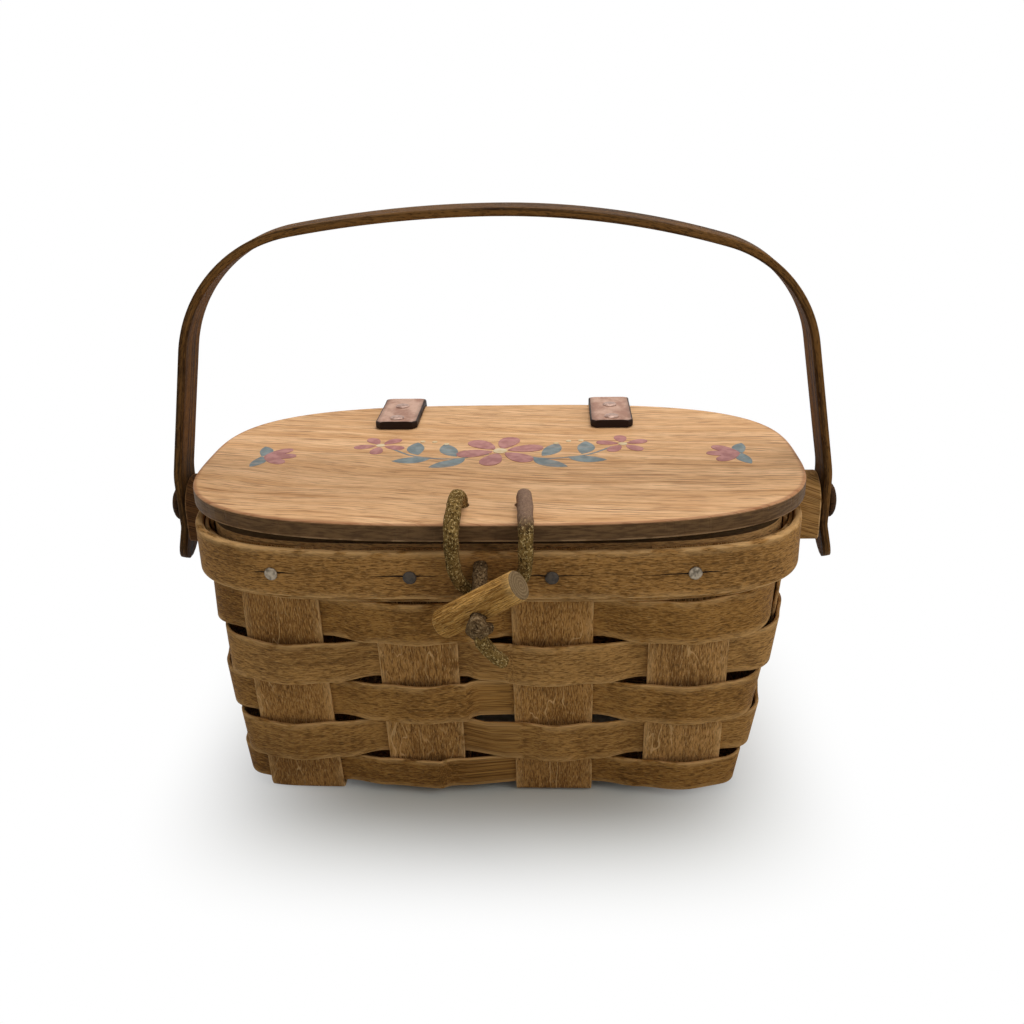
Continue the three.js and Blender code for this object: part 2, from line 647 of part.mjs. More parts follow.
// Handle: a bentwood bow with flared tails, leaning arms, round corners and a long crown,
// its left shoulder bent a little wider and flatter than its right one
function handleHalf({ corner, crown }) {
  const pivot = new THREE.Vector2(ARM_X, PIVOT_Z);
  const lean = HANDLE_LEAN;
  const hip = HANDLE_HIP_RADIUS;
  const line = [];
  const tailSteps = 6;
  const tailEnd = pivot.y - HANDLE_TAIL;
  for (let i = 0; i < tailSteps; i += 1) {
    const rounding = (1 - Math.cos((i / (tailSteps - 1)) * Math.PI / 2)) * HANDLE_WIDTH / 2;
    const fromPivot = HANDLE_TAIL - rounding;
    const flare = (fromPivot - HANDLE_FLARE_START) / (HANDLE_TAIL - HANDLE_FLARE_START);
    line.push(new THREE.Vector2(pivot.x + flare * HANDLE_TAIL_FLARE, tailEnd + rounding));
  }
  line.push(new THREE.Vector2(pivot.x, pivot.y - HANDLE_FLARE_START));
  const hipStart = pivot.y + HANDLE_STRAIGHT;
  const hipSteps = 2;
  for (let i = 0; i <= hipSteps; i += 1) {
    const turn = (i / hipSteps) * lean;
    line.push(new THREE.Vector2(pivot.x - hip * (1 - Math.cos(turn)), hipStart + hip * Math.sin(turn)));
  }
  const armStart = line[line.length - 1];
  const upArm = new THREE.Vector2(-Math.sin(lean), Math.cos(lean));
  const inward = new THREE.Vector2(-Math.cos(lean), -Math.sin(lean));
  const crownCentre = new THREE.Vector2(0, HANDLE_TOP - HANDLE_THICKNESS / 2 - crown);
  const fromCrown = armStart.clone().addScaledVector(inward, corner).sub(crownCentre);
  const along = fromCrown.dot(upArm);
  const reach = -along + Math.sqrt(along ** 2 - fromCrown.lengthSq() + (crown - corner) ** 2);
  const cornerCentre = fromCrown.clone().addScaledVector(upArm, reach).add(crownCentre);
  const cornerEnd = Math.atan2(cornerCentre.y - crownCentre.y, cornerCentre.x);
  const cornerSteps = 8;
  for (let i = 0; i <= cornerSteps; i += 1) {
    const turn = THREE.MathUtils.lerp(lean, cornerEnd, i / cornerSteps);
    line.push(onCircle(cornerCentre, corner, turn));
  }
  const crownSteps = 7;
  for (let i = 1; i <= crownSteps; i += 1) {
    const turn = THREE.MathUtils.lerp(cornerEnd, Math.PI / 2, i / crownSteps);
    line.push(onCircle(crownCentre, crown, turn));
  }
  return line;
}

function handleLine() {
  const right = handleHalf(HANDLE_RIGHT_BEND);
  const left = handleHalf(HANDLE_LEFT_BEND).slice(0, -1).reverse();
  return [...right, ...left.map((point) => new THREE.Vector2(-point.x, point.y))];
}

function handle() {
  const line = handleLine();
  const tailEnd = PIVOT_Z - HANDLE_TAIL;
  const roundEnd = HANDLE_WIDTH / 2;
  const rows = line.map((point, i) => {
    const before = line[Math.max(i - 1, 0)];
    const after = line[Math.min(i + 1, line.length - 1)];
    const ahead = after.clone().sub(before).normalize();
    const out = new THREE.Vector2(ahead.y, -ahead.x).multiplyScalar(HANDLE_THICKNESS / 2);
    const fromEnd = Math.min(point.y - tailEnd + 0.35, roundEnd);
    const half = Math.sqrt(roundEnd ** 2 - (roundEnd - fromEnd) ** 2);
    const at = (sign) => [-half, half].map((y) => (
      new THREE.Vector3(point.x + sign * out.x, y, point.y + sign * out.y)
    ));
    return { outer: at(1), inner: at(-1) };
  });
  return cut(strip(rows), pivotBores);
}

piece('handle', handle(), finish(HANDLE_WOOD, 0.5));

// Ears: blocks with a round top that hold the arms off the rim's ends
function ear(side) {
  const corner = EAR_CORNER_RADIUS;
  const outline = new THREE.Shape();
  outline.absarc(0, 0, EAR_RADIUS, 0, Math.PI);
  outline.lineTo(-EAR_RADIUS, corner - EAR_DROP);
  outline.absarc(corner - EAR_RADIUS, corner - EAR_DROP, corner, Math.PI, Math.PI * 1.5);
  outline.absarc(EAR_RADIUS - corner, corner - EAR_DROP, corner, -Math.PI / 2, 0);
  const block = new THREE.ExtrudeGeometry(outline, {
    depth: EAR_THICKNESS,
    bevelEnabled: false,
    curveSegments: 8,
  });
  block.rotateX(Math.PI / 2).rotateZ(Math.PI / 2);
  const innerFace = RIM_LENGTH / 2 + GAP;
  block.translate(side > 0 ? innerFace : -innerFace - EAR_THICKNESS, 0, PIVOT_Z);
  return cut(block, pivotBores);
}

// Pivots: a rivet through arm, ear and rim, with a washer inside under its peened end
const PIVOT_SEAT_X = ARM_X + HANDLE_THICKNESS / 2 + GAP;
const RIM_INSIDE_X = RIM_LENGTH / 2 - RIM_STACK;
const WASHER_X = RIM_INSIDE_X - GAP - PIVOT_WASHER_THICKNESS / 2;
const PIVOT_TIP_X = RIM_INSIDE_X - GAP - PIVOT_WASHER_THICKNESS - PIVOT_PEEN_LENGTH;
for (const [name, side] of SIDES) {
  const outward = new THREE.Vector3(side, 0, 0);
  piece(`handle_ear_${name}`, ear(side), finish(RIM_WOOD, 0.6));
  const rivet = fastener(
    PIVOT_HEAD_DIAMETER,
    PIVOT_HEAD_HEIGHT,
    PIVOT_SHANK_DIAMETER,
    PIVOT_SEAT_X - PIVOT_TIP_X,
    14,
  );
  const seat = new THREE.Vector3(side * PIVOT_SEAT_X, 0, PIVOT_Z);
  piece(`handle_rivet_${name}`, layAlong(rivet, outward, seat), finish(PIVOT_DARK, 0.4));
  const middle = new THREE.Vector3(side * WASHER_X, 0, PIVOT_Z);
  const disc = rod(PIVOT_WASHER_DIAMETER, PIVOT_WASHER_THICKNESS, outward, middle, 16);
  const hole = rod(PIVOT_SHANK_DIAMETER + 2 * GAP, 3 * PIVOT_WASHER_THICKNESS, outward, middle, 14);
  const washer = cut(disc, [hole]);
  piece(`handle_washer_${name}`, washer, finish(NAIL_STEEL, 0.4, 0.8));
}

// Lid: an oval board, bored for the strap rivets and the loop
const lidRivetSpots = [];
for (const [, side] of SIDES) {
  for (const inset of [STRAP_FRONT_RIVET_INSET, STRAP_BACK_RIVET_INSET]) {
    lidRivetSpots.push(new THREE.Vector3(side * STRAP_MIDDLE_X, LID_BACK_EDGE - inset, LID_TOP));
  }
}
const LOOP_HOLE_Y = LID_FRONT_EDGE + LOOP_HOLE_INSET;
const loopHoleSpots = SIDES.map(([, side]) => (
  new THREE.Vector3(side * LOOP_HOLE_SPACING / 2, LOOP_HOLE_Y, LID_TOP)
));
const lidRivetBores = lidRivetSpots.map((spot) => (
  rod(RIVET_SHANK_DIAMETER + 2 * GAP, 4 * LID_THICKNESS, UPWARDS, spot)
));
const loopBores = loopHoleSpots.map((spot) => (
  rod(THONG_DIAMETER + 4 * GAP, 4 * LID_THICKNESS, UPWARDS, spot)
));

function lid() {
  const points = roundAngles(72).map((angle) => outlinePoint(LID_OUTLINE, angle, -LID_EDGE_CHAMFER));
  const board = new THREE.ExtrudeGeometry(new THREE.Shape(points), {
    depth: LID_THICKNESS - 2 * LID_EDGE_CHAMFER,
    bevelSize: LID_EDGE_CHAMFER,
    bevelThickness: LID_EDGE_CHAMFER,
    bevelSegments: 1,
  });
  board.translate(0, LID_SET_BACK, LID_BOTTOM + LID_EDGE_CHAMFER);
  return cut(board, [...lidRivetBores, ...loopBores]);
}

piece('lid', lid(), finish(LID_WOOD, 0.45));

// Hinge straps: leather from the lid's top, round its back edge and down the rim's back face
const LID_BACK_Y = LID_SET_BACK + outlineY(LID_OUTLINE, STRAP_INNER_X);
const HALF_STRAP = STRAP_THICKNESS / 2;
const STRAP_BACK_Y = LID_BACK_Y + GAP + HALF_STRAP;
const STRAP_RIM_Y = RIM_BACK_Y + GAP + HALF_STRAP;

function strapLine() {
  const lay = LID_TOP + GAP + HALF_STRAP;
  const fold = STRAP_FOLD_RADIUS + GAP + HALF_STRAP;
  const foldCentre = new THREE.Vector2(LID_BACK_Y - STRAP_FOLD_RADIUS, LID_TOP - STRAP_FOLD_RADIUS);
  const line = [new THREE.Vector2(LID_BACK_EDGE - STRAP_REACH, lay)];
  const foldSteps = 5;
  for (let i = 0; i <= foldSteps; i += 1) {
    const turn = (1 - i / foldSteps) * Math.PI / 2;
    line.push(onCircle(foldCentre, fold, turn));
  }
  line.push(new THREE.Vector2(STRAP_BACK_Y, LID_BOTTOM));
  line.push(new THREE.Vector2(STRAP_RIM_Y, RIM_TOP - STRAP_FOLD_RADIUS));
  line.push(new THREE.Vector2(STRAP_RIM_Y, BAND_BOTTOM));
  return line;
}

function strap(side) {
  const line = strapLine();
  const rows = line.map((point, i) => {
    const before = line[Math.max(i - 1, 0)];
    const after = line[Math.min(i + 1, line.length - 1)];
    const ahead = after.clone().sub(before).normalize();
    const out = new THREE.Vector2(-ahead.y, ahead.x).multiplyScalar(HALF_STRAP);
    const at = (sign) => [-0.5, 0.5].map((share) => (
      new THREE.Vector3(
        side * STRAP_MIDDLE_X + share * STRAP_WIDTH,
        point.x + sign * out.x,
        point.y + sign * out.y,
      )
    ));
    return { outer: at(1), inner: at(-1) };
  });
  return cut(strip(rows), [...lidRivetBores, ...rimRivetBores]);
}

for (const [name, side] of SIDES) {
  piece(`hinge_strap_${name}`, strap(side), finish(STRAP_LEATHER, 0.55));
}

const LID_RIVET_SEAT = LID_TOP + 2 * GAP + STRAP_THICKNESS;
lidRivetSpots.forEach((spot, i) => {
  const name = `lid_rivet_${SIDES[Math.floor(i / 2)][0]}_${i % 2 === 0 ? 'front' : 'back'}`;
  const length = LID_RIVET_SEAT - LID_BOTTOM - GAP;
  const rivet = fastener(RIVET_HEAD_DIAMETER, RIVET_HEAD_HEIGHT, RIVET_SHANK_DIAMETER, length, 10);
  const seat = new THREE.Vector3(spot.x, spot.y, LID_RIVET_SEAT);
  piece(name, layAlong(rivet, UPWARDS, seat), finish(STRAP_LEATHER, 0.35, 0.5));
});

const RIM_RIVET_SEAT = RIM_BACK_Y + 2 * GAP + STRAP_THICKNESS;
for (const [name, side] of SIDES) {
  RIM_RIVETS_Z.forEach((z, i) => {
    const length = RIM_RIVET_SEAT - RIM_BACK_Y + RIM_STACK - NAIL_TIP_INSET;
    const rivet = fastener(RIVET_HEAD_DIAMETER, RIVET_HEAD_HEIGHT, RIVET_SHANK_DIAMETER, length, 10);
    const seat = new THREE.Vector3(side * STRAP_MIDDLE_X, RIM_RIVET_SEAT, z);
    const level = i === 0 ? 'low' : 'high';
    piece(`rim_rivet_${name}_${level}`, layAlong(rivet, BACKWARDS, seat), finish(STRAP_LEATHER, 0.35, 0.5));
  });
}

// Lid loop: a suede thong from hole to hole, hanging over the front edge, knotted under the lid
const loopRoute = [
  ...LOOP_ROUTE,
  ...LOOP_ROUTE.slice(0, -1).reverse().map(([x, y, z]) => [-x, y, z]),
];
piece('lid_loop', tube(loopRoute, THONG_DIAMETER, 40), finish(THONG_SUEDE, 0.9));
for (const [name, side] of SIDES) {
  const middle = new THREE.Vector3(side * LOOP_HOLE_SPACING / 2, LOOP_HOLE_Y, LID_BOTTOM - GAP - KNOT_RADIUS);
  piece(`loop_knot_${name}`, knot(middle), finish(THONG_SUEDE, 0.9));
}

// Toggle: a dowel with chamfered ends, drilled across for its thong
function toggle() {
  const half = TOGGLE_LENGTH / 2;
  const radius = TOGGLE_DIAMETER / 2;
  const profile = [
    new THREE.Vector2(0, -half),
    new THREE.Vector2(radius - TOGGLE_END_CHAMFER, -half),
    new THREE.Vector2(radius, TOGGLE_END_CHAMFER - half),
    new THREE.Vector2(radius, half - TOGGLE_END_CHAMFER),
    new THREE.Vector2(radius - TOGGLE_END_CHAMFER, half),
    new THREE.Vector2(0, half),
  ];
  const dowel = layAlong(new THREE.LatheGeometry(profile, 20), TOGGLE_AXIS, TOGGLE_CENTRE);
  return cut(dowel, [rod(THONG_DIAMETER + 4 * GAP, 3 * TOGGLE_DIAMETER, TOGGLE_HOLE, TOGGLE_CENTRE)]);
}

piece('toggle', toggle(), finish(TOGGLE_WOOD, 0.5));

const INNER_KNOT_Y = RIM_STACK + GAP + KNOT_RADIUS - RIM_DEPTH / 2;
const innerKnot = knot(new THREE.Vector3(TOGGLE_THONG_X, INNER_KNOT_Y, TOGGLE_THONG_Z));
const outerKnotReach = TOGGLE_DIAMETER / 2 + GAP + KNOT_RADIUS;
const outerKnot = knot(TOGGLE_CENTRE.clone().addScaledVector(TOGGLE_HOLE, outerKnotReach));
const toggleThong = join([
  tube(TOGGLE_THONG_ROUTE, THONG_DIAMETER, 18),
  tube(TOGGLE_TAIL_ROUTE, THONG_DIAMETER, 5),
  innerKnot,
  outerKnot,
]);
piece('toggle_thong', toggleThong, finish(THONG_SUEDE, 0.9));

// The origin is under the middle of the basket's box, which the nail heads and straps bound in Y
const FRONT_Y = -outlineY(RIM_OUTLINE, CROSS_STAKES[2]) - GAP - NAIL_HEAD_HEIGHT;
const BACK_Y = STRAP_BACK_Y + HALF_STRAP;
basket.position.y = -(FRONT_Y + BACK_Y) / 2;

const model = new THREE.Group();
model.add(basket);

export default model;
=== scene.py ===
import math
import random

import bmesh
import bpy
import numpy as np
from mathutils import Matrix, Vector


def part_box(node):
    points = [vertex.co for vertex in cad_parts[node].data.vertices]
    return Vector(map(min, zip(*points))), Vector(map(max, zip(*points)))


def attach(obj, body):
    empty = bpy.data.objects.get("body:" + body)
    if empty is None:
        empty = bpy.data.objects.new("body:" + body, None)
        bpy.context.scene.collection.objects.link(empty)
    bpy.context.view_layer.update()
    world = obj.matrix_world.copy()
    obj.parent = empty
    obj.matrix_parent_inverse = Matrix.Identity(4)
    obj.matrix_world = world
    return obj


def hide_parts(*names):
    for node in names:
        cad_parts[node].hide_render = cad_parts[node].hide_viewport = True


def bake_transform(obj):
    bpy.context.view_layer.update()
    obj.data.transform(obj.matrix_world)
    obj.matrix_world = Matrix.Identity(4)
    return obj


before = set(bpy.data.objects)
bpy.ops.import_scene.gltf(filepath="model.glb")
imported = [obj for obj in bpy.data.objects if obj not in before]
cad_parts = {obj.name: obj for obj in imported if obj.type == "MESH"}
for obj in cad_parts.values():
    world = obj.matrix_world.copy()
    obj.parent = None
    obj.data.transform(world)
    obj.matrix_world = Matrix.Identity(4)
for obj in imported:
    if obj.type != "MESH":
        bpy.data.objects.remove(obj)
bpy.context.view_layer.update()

# A small splint-woven picnic basket. Lengths are in millimetres, centred on the rim, and are turned
# into the frame's metres when a mesh is made.
MM = 0.001
rim_low, rim_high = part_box("outer_rim_band")
SHIFT_Y = (rim_low.y + rim_high.y) / 2 / MM
SIDES = ((-1, "left"), (1, "right"))

# The woven wall. An outline is (half length, half depth, squareness, middle x).
GAP = 0.3
SPLINT = 1.2
SPLINT_EDGE = 0.42
LAYER = SPLINT + GAP
STAKE_WIDTH = 26.0
STAKE_TOP = 98.8
CROSS_STAKES = (-68.35, -24.85, 18.65, 62.15)
LONG_STAKES = (-19.5, 19.5)
CROSSING_HALF = STAKE_WIDTH / 2 + 1.2
BEND_RADIUS = 2.2
BASE_LEVELS = (0.6, 2.1)
BASE = (85.5, 43.5, 12.0, -3.0)
WALL_TOP = (96.2, 56.2, 4.2, 0.0)
WEAVER_ROWS = 5
WEAVER_SWELL = 2.0
FOOT_BOTTOM = 3.2
FOOT_TOP = 15.8
ROW_PITCH = 16.375

# The rim
RIM = (101.0, 61.0, 4.2, 0.0)
RIM_TOP = 99.5
BAND_THICKNESS = 2.4
BAND_BOTTOM = 83.5
UNDER_BOTTOM = 81.3
UNDER_TOP = 98.5
INNER_BOTTOM = 85.0
INNER_TOP = 101.7
NAIL_Z = 91.5

# The lid, its straps and the suede lace
LID = (103.9, 62.5, 3.05, 0.0)
LID_Y = 1.5
LID_BOTTOM = 102.7
LID_TOP = 108.7
LID_BACK_Y = 63.36
STRAP_X = 41.0
STRAP_HALF = 8.0
STRAP_CUT = 1.8
LOOP_HOLE_X = 10.0
LOOP_HOLE_Y = -45.5
LOOP_KNOT_Z = 98.4
LACE_RADIUS = 2.25

# The handle; its top is that of its middle line
PIVOT_Z = 92.0
ARM_X = 113.2
HANDLE_TOP = 192.9
HANDLE_WIDTH = 15.2
HANDLE_THICKNESS = 2.8
EAR_SEAT_X = 101.3
EAR_THICKNESS = 9.7
WASHER_X = 92.0


def to_frame(points):
    """Basket millimetres to the frame's metres."""
    moved = np.array(points, float)
    moved[..., 1] += SHIFT_Y
    return moved * MM


def add_object(name, data):
    made = bpy.data.objects.new(name, data)
    bpy.context.scene.collection.objects.link(made)
    return made


# Camera
def make_camera():
    pan, tilt, roll = -0.0478, 0.3887, -0.0228
    data = bpy.data.cameras.new("camera")
    data.sensor_width = 36
    data.lens = 37.27
    data.clip_start = 0.01
    camera = add_object("camera", data)
    turn = Matrix.Rotation(-pan, 4, "Z") @ Matrix.Rotation(math.pi / 2 - tilt, 4, "X")
    turn = turn @ Matrix.Rotation(roll, 4, "Z")
    turn.translation = (0.020857, -0.354139, 0.23190)
    camera.matrix_world = turn
    bpy.context.scene.camera = camera


make_camera()


# Lines
def ripple(share, amount, seed, waves=(2, 3, 5, 8)):
    """A smooth seeded wander along share, which runs from 0 to 1 and may close on itself."""
    rng = random.Random(seed)
    total = np.zeros_like(share)
    for count in waves:
        total += rng.uniform(0.4, 1) * np.sin(2 * np.pi * (count * share + rng.random()))
    return amount * total / len(waves)


def along(points, closed=False):
    """Distance along a line of points, in metres."""
    points = np.asarray(points, float)
    if closed:
        points = np.vstack([points, points[:1]])
    return np.append(0, np.cumsum(np.linalg.norm(np.diff(points, axis=0), axis=1))) * MM


def resampled(points, count):
    run = along(points)
    even = np.linspace(0, run[-1], count)
    return np.stack([np.interp(even, run, column) for column in np.array(points).T], -1)


def smooth_curve(points, spacing):
    """An even, smooth curve through the points."""
    def between(a, b, start, end):
        return (end - t) / (end - start) * a + (t - start) / (end - start) * b

    p = np.array(points, float)
    p = np.vstack([2 * p[0] - p[1], p, 2 * p[-1] - p[-2]])
    line = []
    for i in range(1, len(p) - 2):
        p0, p1, p2, p3 = p[i - 1:i + 3]
        t1 = np.linalg.norm(p1 - p0) ** 0.5
        t2 = t1 + np.linalg.norm(p2 - p1) ** 0.5
        t3 = t2 + np.linalg.norm(p3 - p2) ** 0.5
        t = np.linspace(t1, t2, 16, endpoint=False)[:, None]
        a1, a2, a3 = between(p0, p1, 0, t1), between(p1, p2, t1, t2), between(p2, p3, t2, t3)
        line.append(between(between(a1, a2, 0, t2), between(a2, a3, t1, t3), t1, t2))
    line = np.vstack(line + [p[-2:-1]])
    return resampled(line, max(8, int(along(line)[-1] / MM / spacing)))


def headings(line, closed=False):
    """The unit direction of travel at each point of a line."""
    ahead = np.roll(line, -1, 0) - np.roll(line, 1, 0) if closed else np.gradient(line, axis=0)
    return ahead / np.linalg.norm(ahead, axis=1)[:, None]


def stood_off(line, offsets):
    """Both coordinates of points that stand off a flat line, to its right, by each of the offsets."""
    ahead = headings(line)
    return line[:, :1] + np.outer(ahead[:, 1], offsets), line[:, 1:] - np.outer(ahead[:, 0], offsets)


def circle(count):
    return np.linspace(0, 2 * np.pi, count, endpoint=False)


def square_to(axis, aside):
    """The axis at unit length, and two unit directions square to it and to each other."""
    axis = np.array(axis, float) / np.linalg.norm(axis)
    e1 = np.cross(axis, aside)
    e1 /= np.linalg.norm(e1)
    return axis, e1, np.cross(axis, e1)


def quarter_round(radius, count):
    """(inset, drop) pairs over a rounded edge, from the face to the side."""
    turns = np.linspace(0, np.pi / 2, count)
    return [(radius * (1 - math.sin(turn)), radius * (1 - math.cos(turn))) for turn in turns]


def splint_section(width, thickness, radius, across=7, corner=4):
    """A flat strip's section, with rounded edges: across, out, how near an edge, and the distance round."""
    flat = np.linspace(-1, 1, across) * (width / 2 - radius)
    turn = np.linspace(0, np.pi, 2 * corner + 1)[1:-1]
    half = thickness / 2
    arc_across = width / 2 - radius + radius * np.sin(turn)
    straight = np.where(turn < np.pi / 2, half - radius, radius - half)
    arc_out = straight * (np.abs(np.cos(turn)) > 1e-9) + radius * np.cos(turn)
    s = np.concatenate([flat, arc_across, flat[::-1], -arc_across])
    o = np.concatenate([np.full(across, half), arc_out, np.full(across, -half), -arc_out])
    face, edge = np.zeros(across), np.ones(len(turn))
    face[[0, -1]] = 0.6
    return s, o, np.concatenate([face, edge, face, edge]), along(np.stack([s, o], -1), True)


# Meshes
def shade(mesh, sharp, weld=False):
    """Smooths a mesh, apart from the edges that turn by more than the angle sharp."""
    work = bmesh.new()
    work.from_mesh(mesh)
    if weld:
        bmesh.ops.remove_doubles(work, verts=work.verts, dist=1e-7)
        bmesh.ops.recalc_face_normals(work, faces=work.faces)
    for face in work.faces:
        face.smooth = True
    for edge in work.edges:
        edge.smooth = len(edge.link_faces) == 2 and edge.calc_face_angle(0) < math.radians(sharp)
    work.to_mesh(mesh)
    work.free()


def make_mesh(name, points, faces, uvs, wear=None, sharp=38):
    mesh = bpy.data.meshes.new(name)
    mesh.from_pydata(to_frame(points).tolist(), [], faces)
    layer = mesh.uv_layers.new(name="grain")
    layer.data.foreach_set("uv", np.asarray(uvs, np.float32).ravel())
    if wear is not None:
        worn = mesh.attributes.new("wear", "FLOAT", "POINT")
        worn.data.foreach_set("value", np.asarray(wear, np.float32))
    shade(mesh, sharp, True)
    return add_object(name, mesh)


def skin(stations, around, u, v, closed=False, base=0):
    """Faces over stations of closed sections, numbered from base, and the grain's place at their corners."""
    i, j = np.meshgrid(np.arange(stations if closed else stations - 1), np.arange(around), indexing="ij")
    ahead, beside = (i + 1) % stations * around, (j + 1) % around
    corners = np.stack([i * around + j, ahead + j, ahead + beside, i * around + beside], -1)
    faces = (base + corners).reshape(-1, 4).tolist()
    us = np.stack([u[i], u[i + 1], u[i + 1], u[i]], -1)
    vs = np.stack([v[j], v[j], v[j + 1], v[j + 1]], -1)
    uvs = np.stack([us, vs], -1).reshape(-1, 2).tolist()
    if not closed:
        for end in (0, stations - 1):
            faces.append([base + end * around + k for k in range(around)])
            uvs += [(u[end], v[k]) for k in range(around)]
    return faces, uvs


def lofted(name, grid, u, v, wear=None, closed=False, sharp=38):
    """A skin over stations of closed sections: grid[station, round] is a point."""
    stations, around = grid.shape[:2]
    faces, uvs = skin(stations, around, u, v, closed)
    if wear is not None:
        wear = np.broadcast_to(wear, (stations, around)).ravel()
    return make_mesh(name, grid.reshape(-1, 3), faces, uvs, wear, sharp)


def tube(name, line, radius, seed, squareness=2.4, roughness=0.1, sides=18, closed=False, spread=None,
         first=(1, 0, 0)):
    """A soft round lace along a line, with a slightly uneven skin; first is where its section starts."""
    ahead = headings(line, closed)
    side, across = np.array(first, float), []
    for way in ahead:
        side = side - way * side.dot(way)
        side /= np.linalg.norm(side)
        across.append(side)
    across = np.array(across)
    up = np.cross(ahead, across)
    turn = circle(sides)
    c, s = np.cos(turn), np.sin(turn)
    shape = (np.abs(c) ** squareness + np.abs(s) ** squareness) ** (-1 / squareness)
    bumps = np.random.default_rng(seed).normal(0, 1, (len(line), sides))
    for _ in range(2):
        bumps = sum((np.roll(bumps, step, axis) for axis in (0, 1) for step in (1, -1)), bumps) / 3
    share = np.linspace(0, 1, len(line), endpoint=not closed)
    reach = radius * shape + roughness * bumps + ripple(share, roughness, seed)[:, None]
    if spread is not None:
        reach = reach * spread[:, None]
    spokes = c[:, None] * across[:, None] + s[:, None] * up[:, None]
    v = np.linspace(0, 2 * np.pi * radius * MM, sides + 1)
    return lofted(name, line[:, None] + reach[..., None] * spokes, along(line, closed), v, None, closed, 60)


def turned(name, profile, axis, origin, sides, sharp=38, wear=None):
    """A round piece from (radius, height) pairs about an axis."""
    axis, e1, e2 = square_to(axis, (0, 0, 1) if abs(axis[2]) < 0.9 else (1, 0, 0))
    turn = circle(sides)
    ring = np.outer(np.cos(turn), e1) + np.outer(np.sin(turn), e2)
    p = np.array(profile, float)
    grid = np.array(origin, float) + p[:, 0, None, None] * ring + p[:, 1, None, None] * axis
    v = np.linspace(0, 2 * np.pi * p[:, 0].max() * MM, sides + 1)
    return lofted(name, grid, along(p), v, wear, sharp=sharp)


def drilled(piece, drills, sharp=38):
    """Cuts round holes through a piece: each drill is (middle, direction, diameter, length)."""
    for middle, direction, diameter, length in drills:
        cutter = turned("drill", [(diameter / 2, end * length / 2) for end in (-1, 1)], direction, middle, 28)
        step = piece.modifiers.new("hole", "BOOLEAN")
        step.operation = "DIFFERENCE"
        step.solver = "EXACT"
        step.object = cutter
        bpy.context.view_layer.update()
        view = bpy.context.evaluated_depsgraph_get()
        mesh = bpy.data.meshes.new_from_object(piece.evaluated_get(view))
        piece.modifiers.clear()
        mesh.name = piece.name
        piece.data = mesh
        bpy.data.objects.remove(cutter)
    shade(piece.data, sharp)


def dress(piece, material, body, slot, *nodes):
    """Gives a piece its material and the body that it moves with, and hides the nodes it stands for; slot, its
    finish, is not used.
    """
    if not piece.data.materials:
        piece.data.materials.append(material)
    if body is not None:
        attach(piece, body)
    if nodes:
        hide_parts(*nodes)


# Materials. A bare triple is a display colour, each value from 0 to 255.
def srgb(*values):
    shares = [value / 255 for value in values]
    return (*(c / 12.92 if c <= 0.04045 else ((c + 0.055) / 1.055) ** 2.4 for c in shares), 1)


def darker(colour, share):
    return (*(c * share for c in srgb(*colour)[:3]), 1)


def toned(colour, tone):
    return tuple(c + tone for c in colour)


class Graph:
    """Adds nodes to a tree. An input is a socket to link or a value to set."""

    def __init__(self, tree):
        self.tree = tree

    def add(self, kind, inputs=None, out=0, **settings):
        """Makes a node, and gives one of its outputs."""
        node = self.tree.nodes.new(kind)
        for key, value in settings.items():
            setattr(node, key, value)
        for key, value in (inputs or {}).items():
            self.feed(node.inputs[key], value)
        return node.outputs[out]

    def feed(self, socket, value):
        if isinstance(value, bpy.types.NodeSocket):
            self.tree.links.new(value, socket)
        else:
            socket.default_value = value

    def math(self, operation, a, b=0.0):
        return self.add("ShaderNodeMath", {0: a, 1: b}, operation=operation)

    def times(self, value, *others):
        for other in others:
            value = self.math("MULTIPLY", value, other)
        return value

    def plus(self, a, b):
        return self.math("ADD", a, b)

    def total(self, *rows):
        """The sum of (value, share) rows."""
        first, *others = [self.times(value, share) for value, share in rows]
        for other in others:
            first = self.plus(first, other)
        return first

    def step(self, value, low, high, to_low=0.0, to_high=1.0):
        inputs = {"Value": value, "From Min": low, "From Max": high, "To Min": to_low, "To Max": to_high}
        return self.add("ShaderNodeMapRange", inputs, interpolation_type="SMOOTHSTEP")

    def split(self, place):
        return tuple(self.add("ShaderNodeSeparateXYZ", {0: place}).node.outputs)

    def object_place(self):
        return self.add("ShaderNodeTexCoord", out="Object")

    def seen_rays(self):
        """1 for rays that show the backdrop: seen straight, in a reflection or through glass."""
        path = self.add("ShaderNodeLightPath").node.outputs
        seen = self.math("MAXIMUM", path["Is Camera Ray"], path["Is Glossy Ray"])
        return self.math("MAXIMUM", seen, path["Is Transmission Ray"])


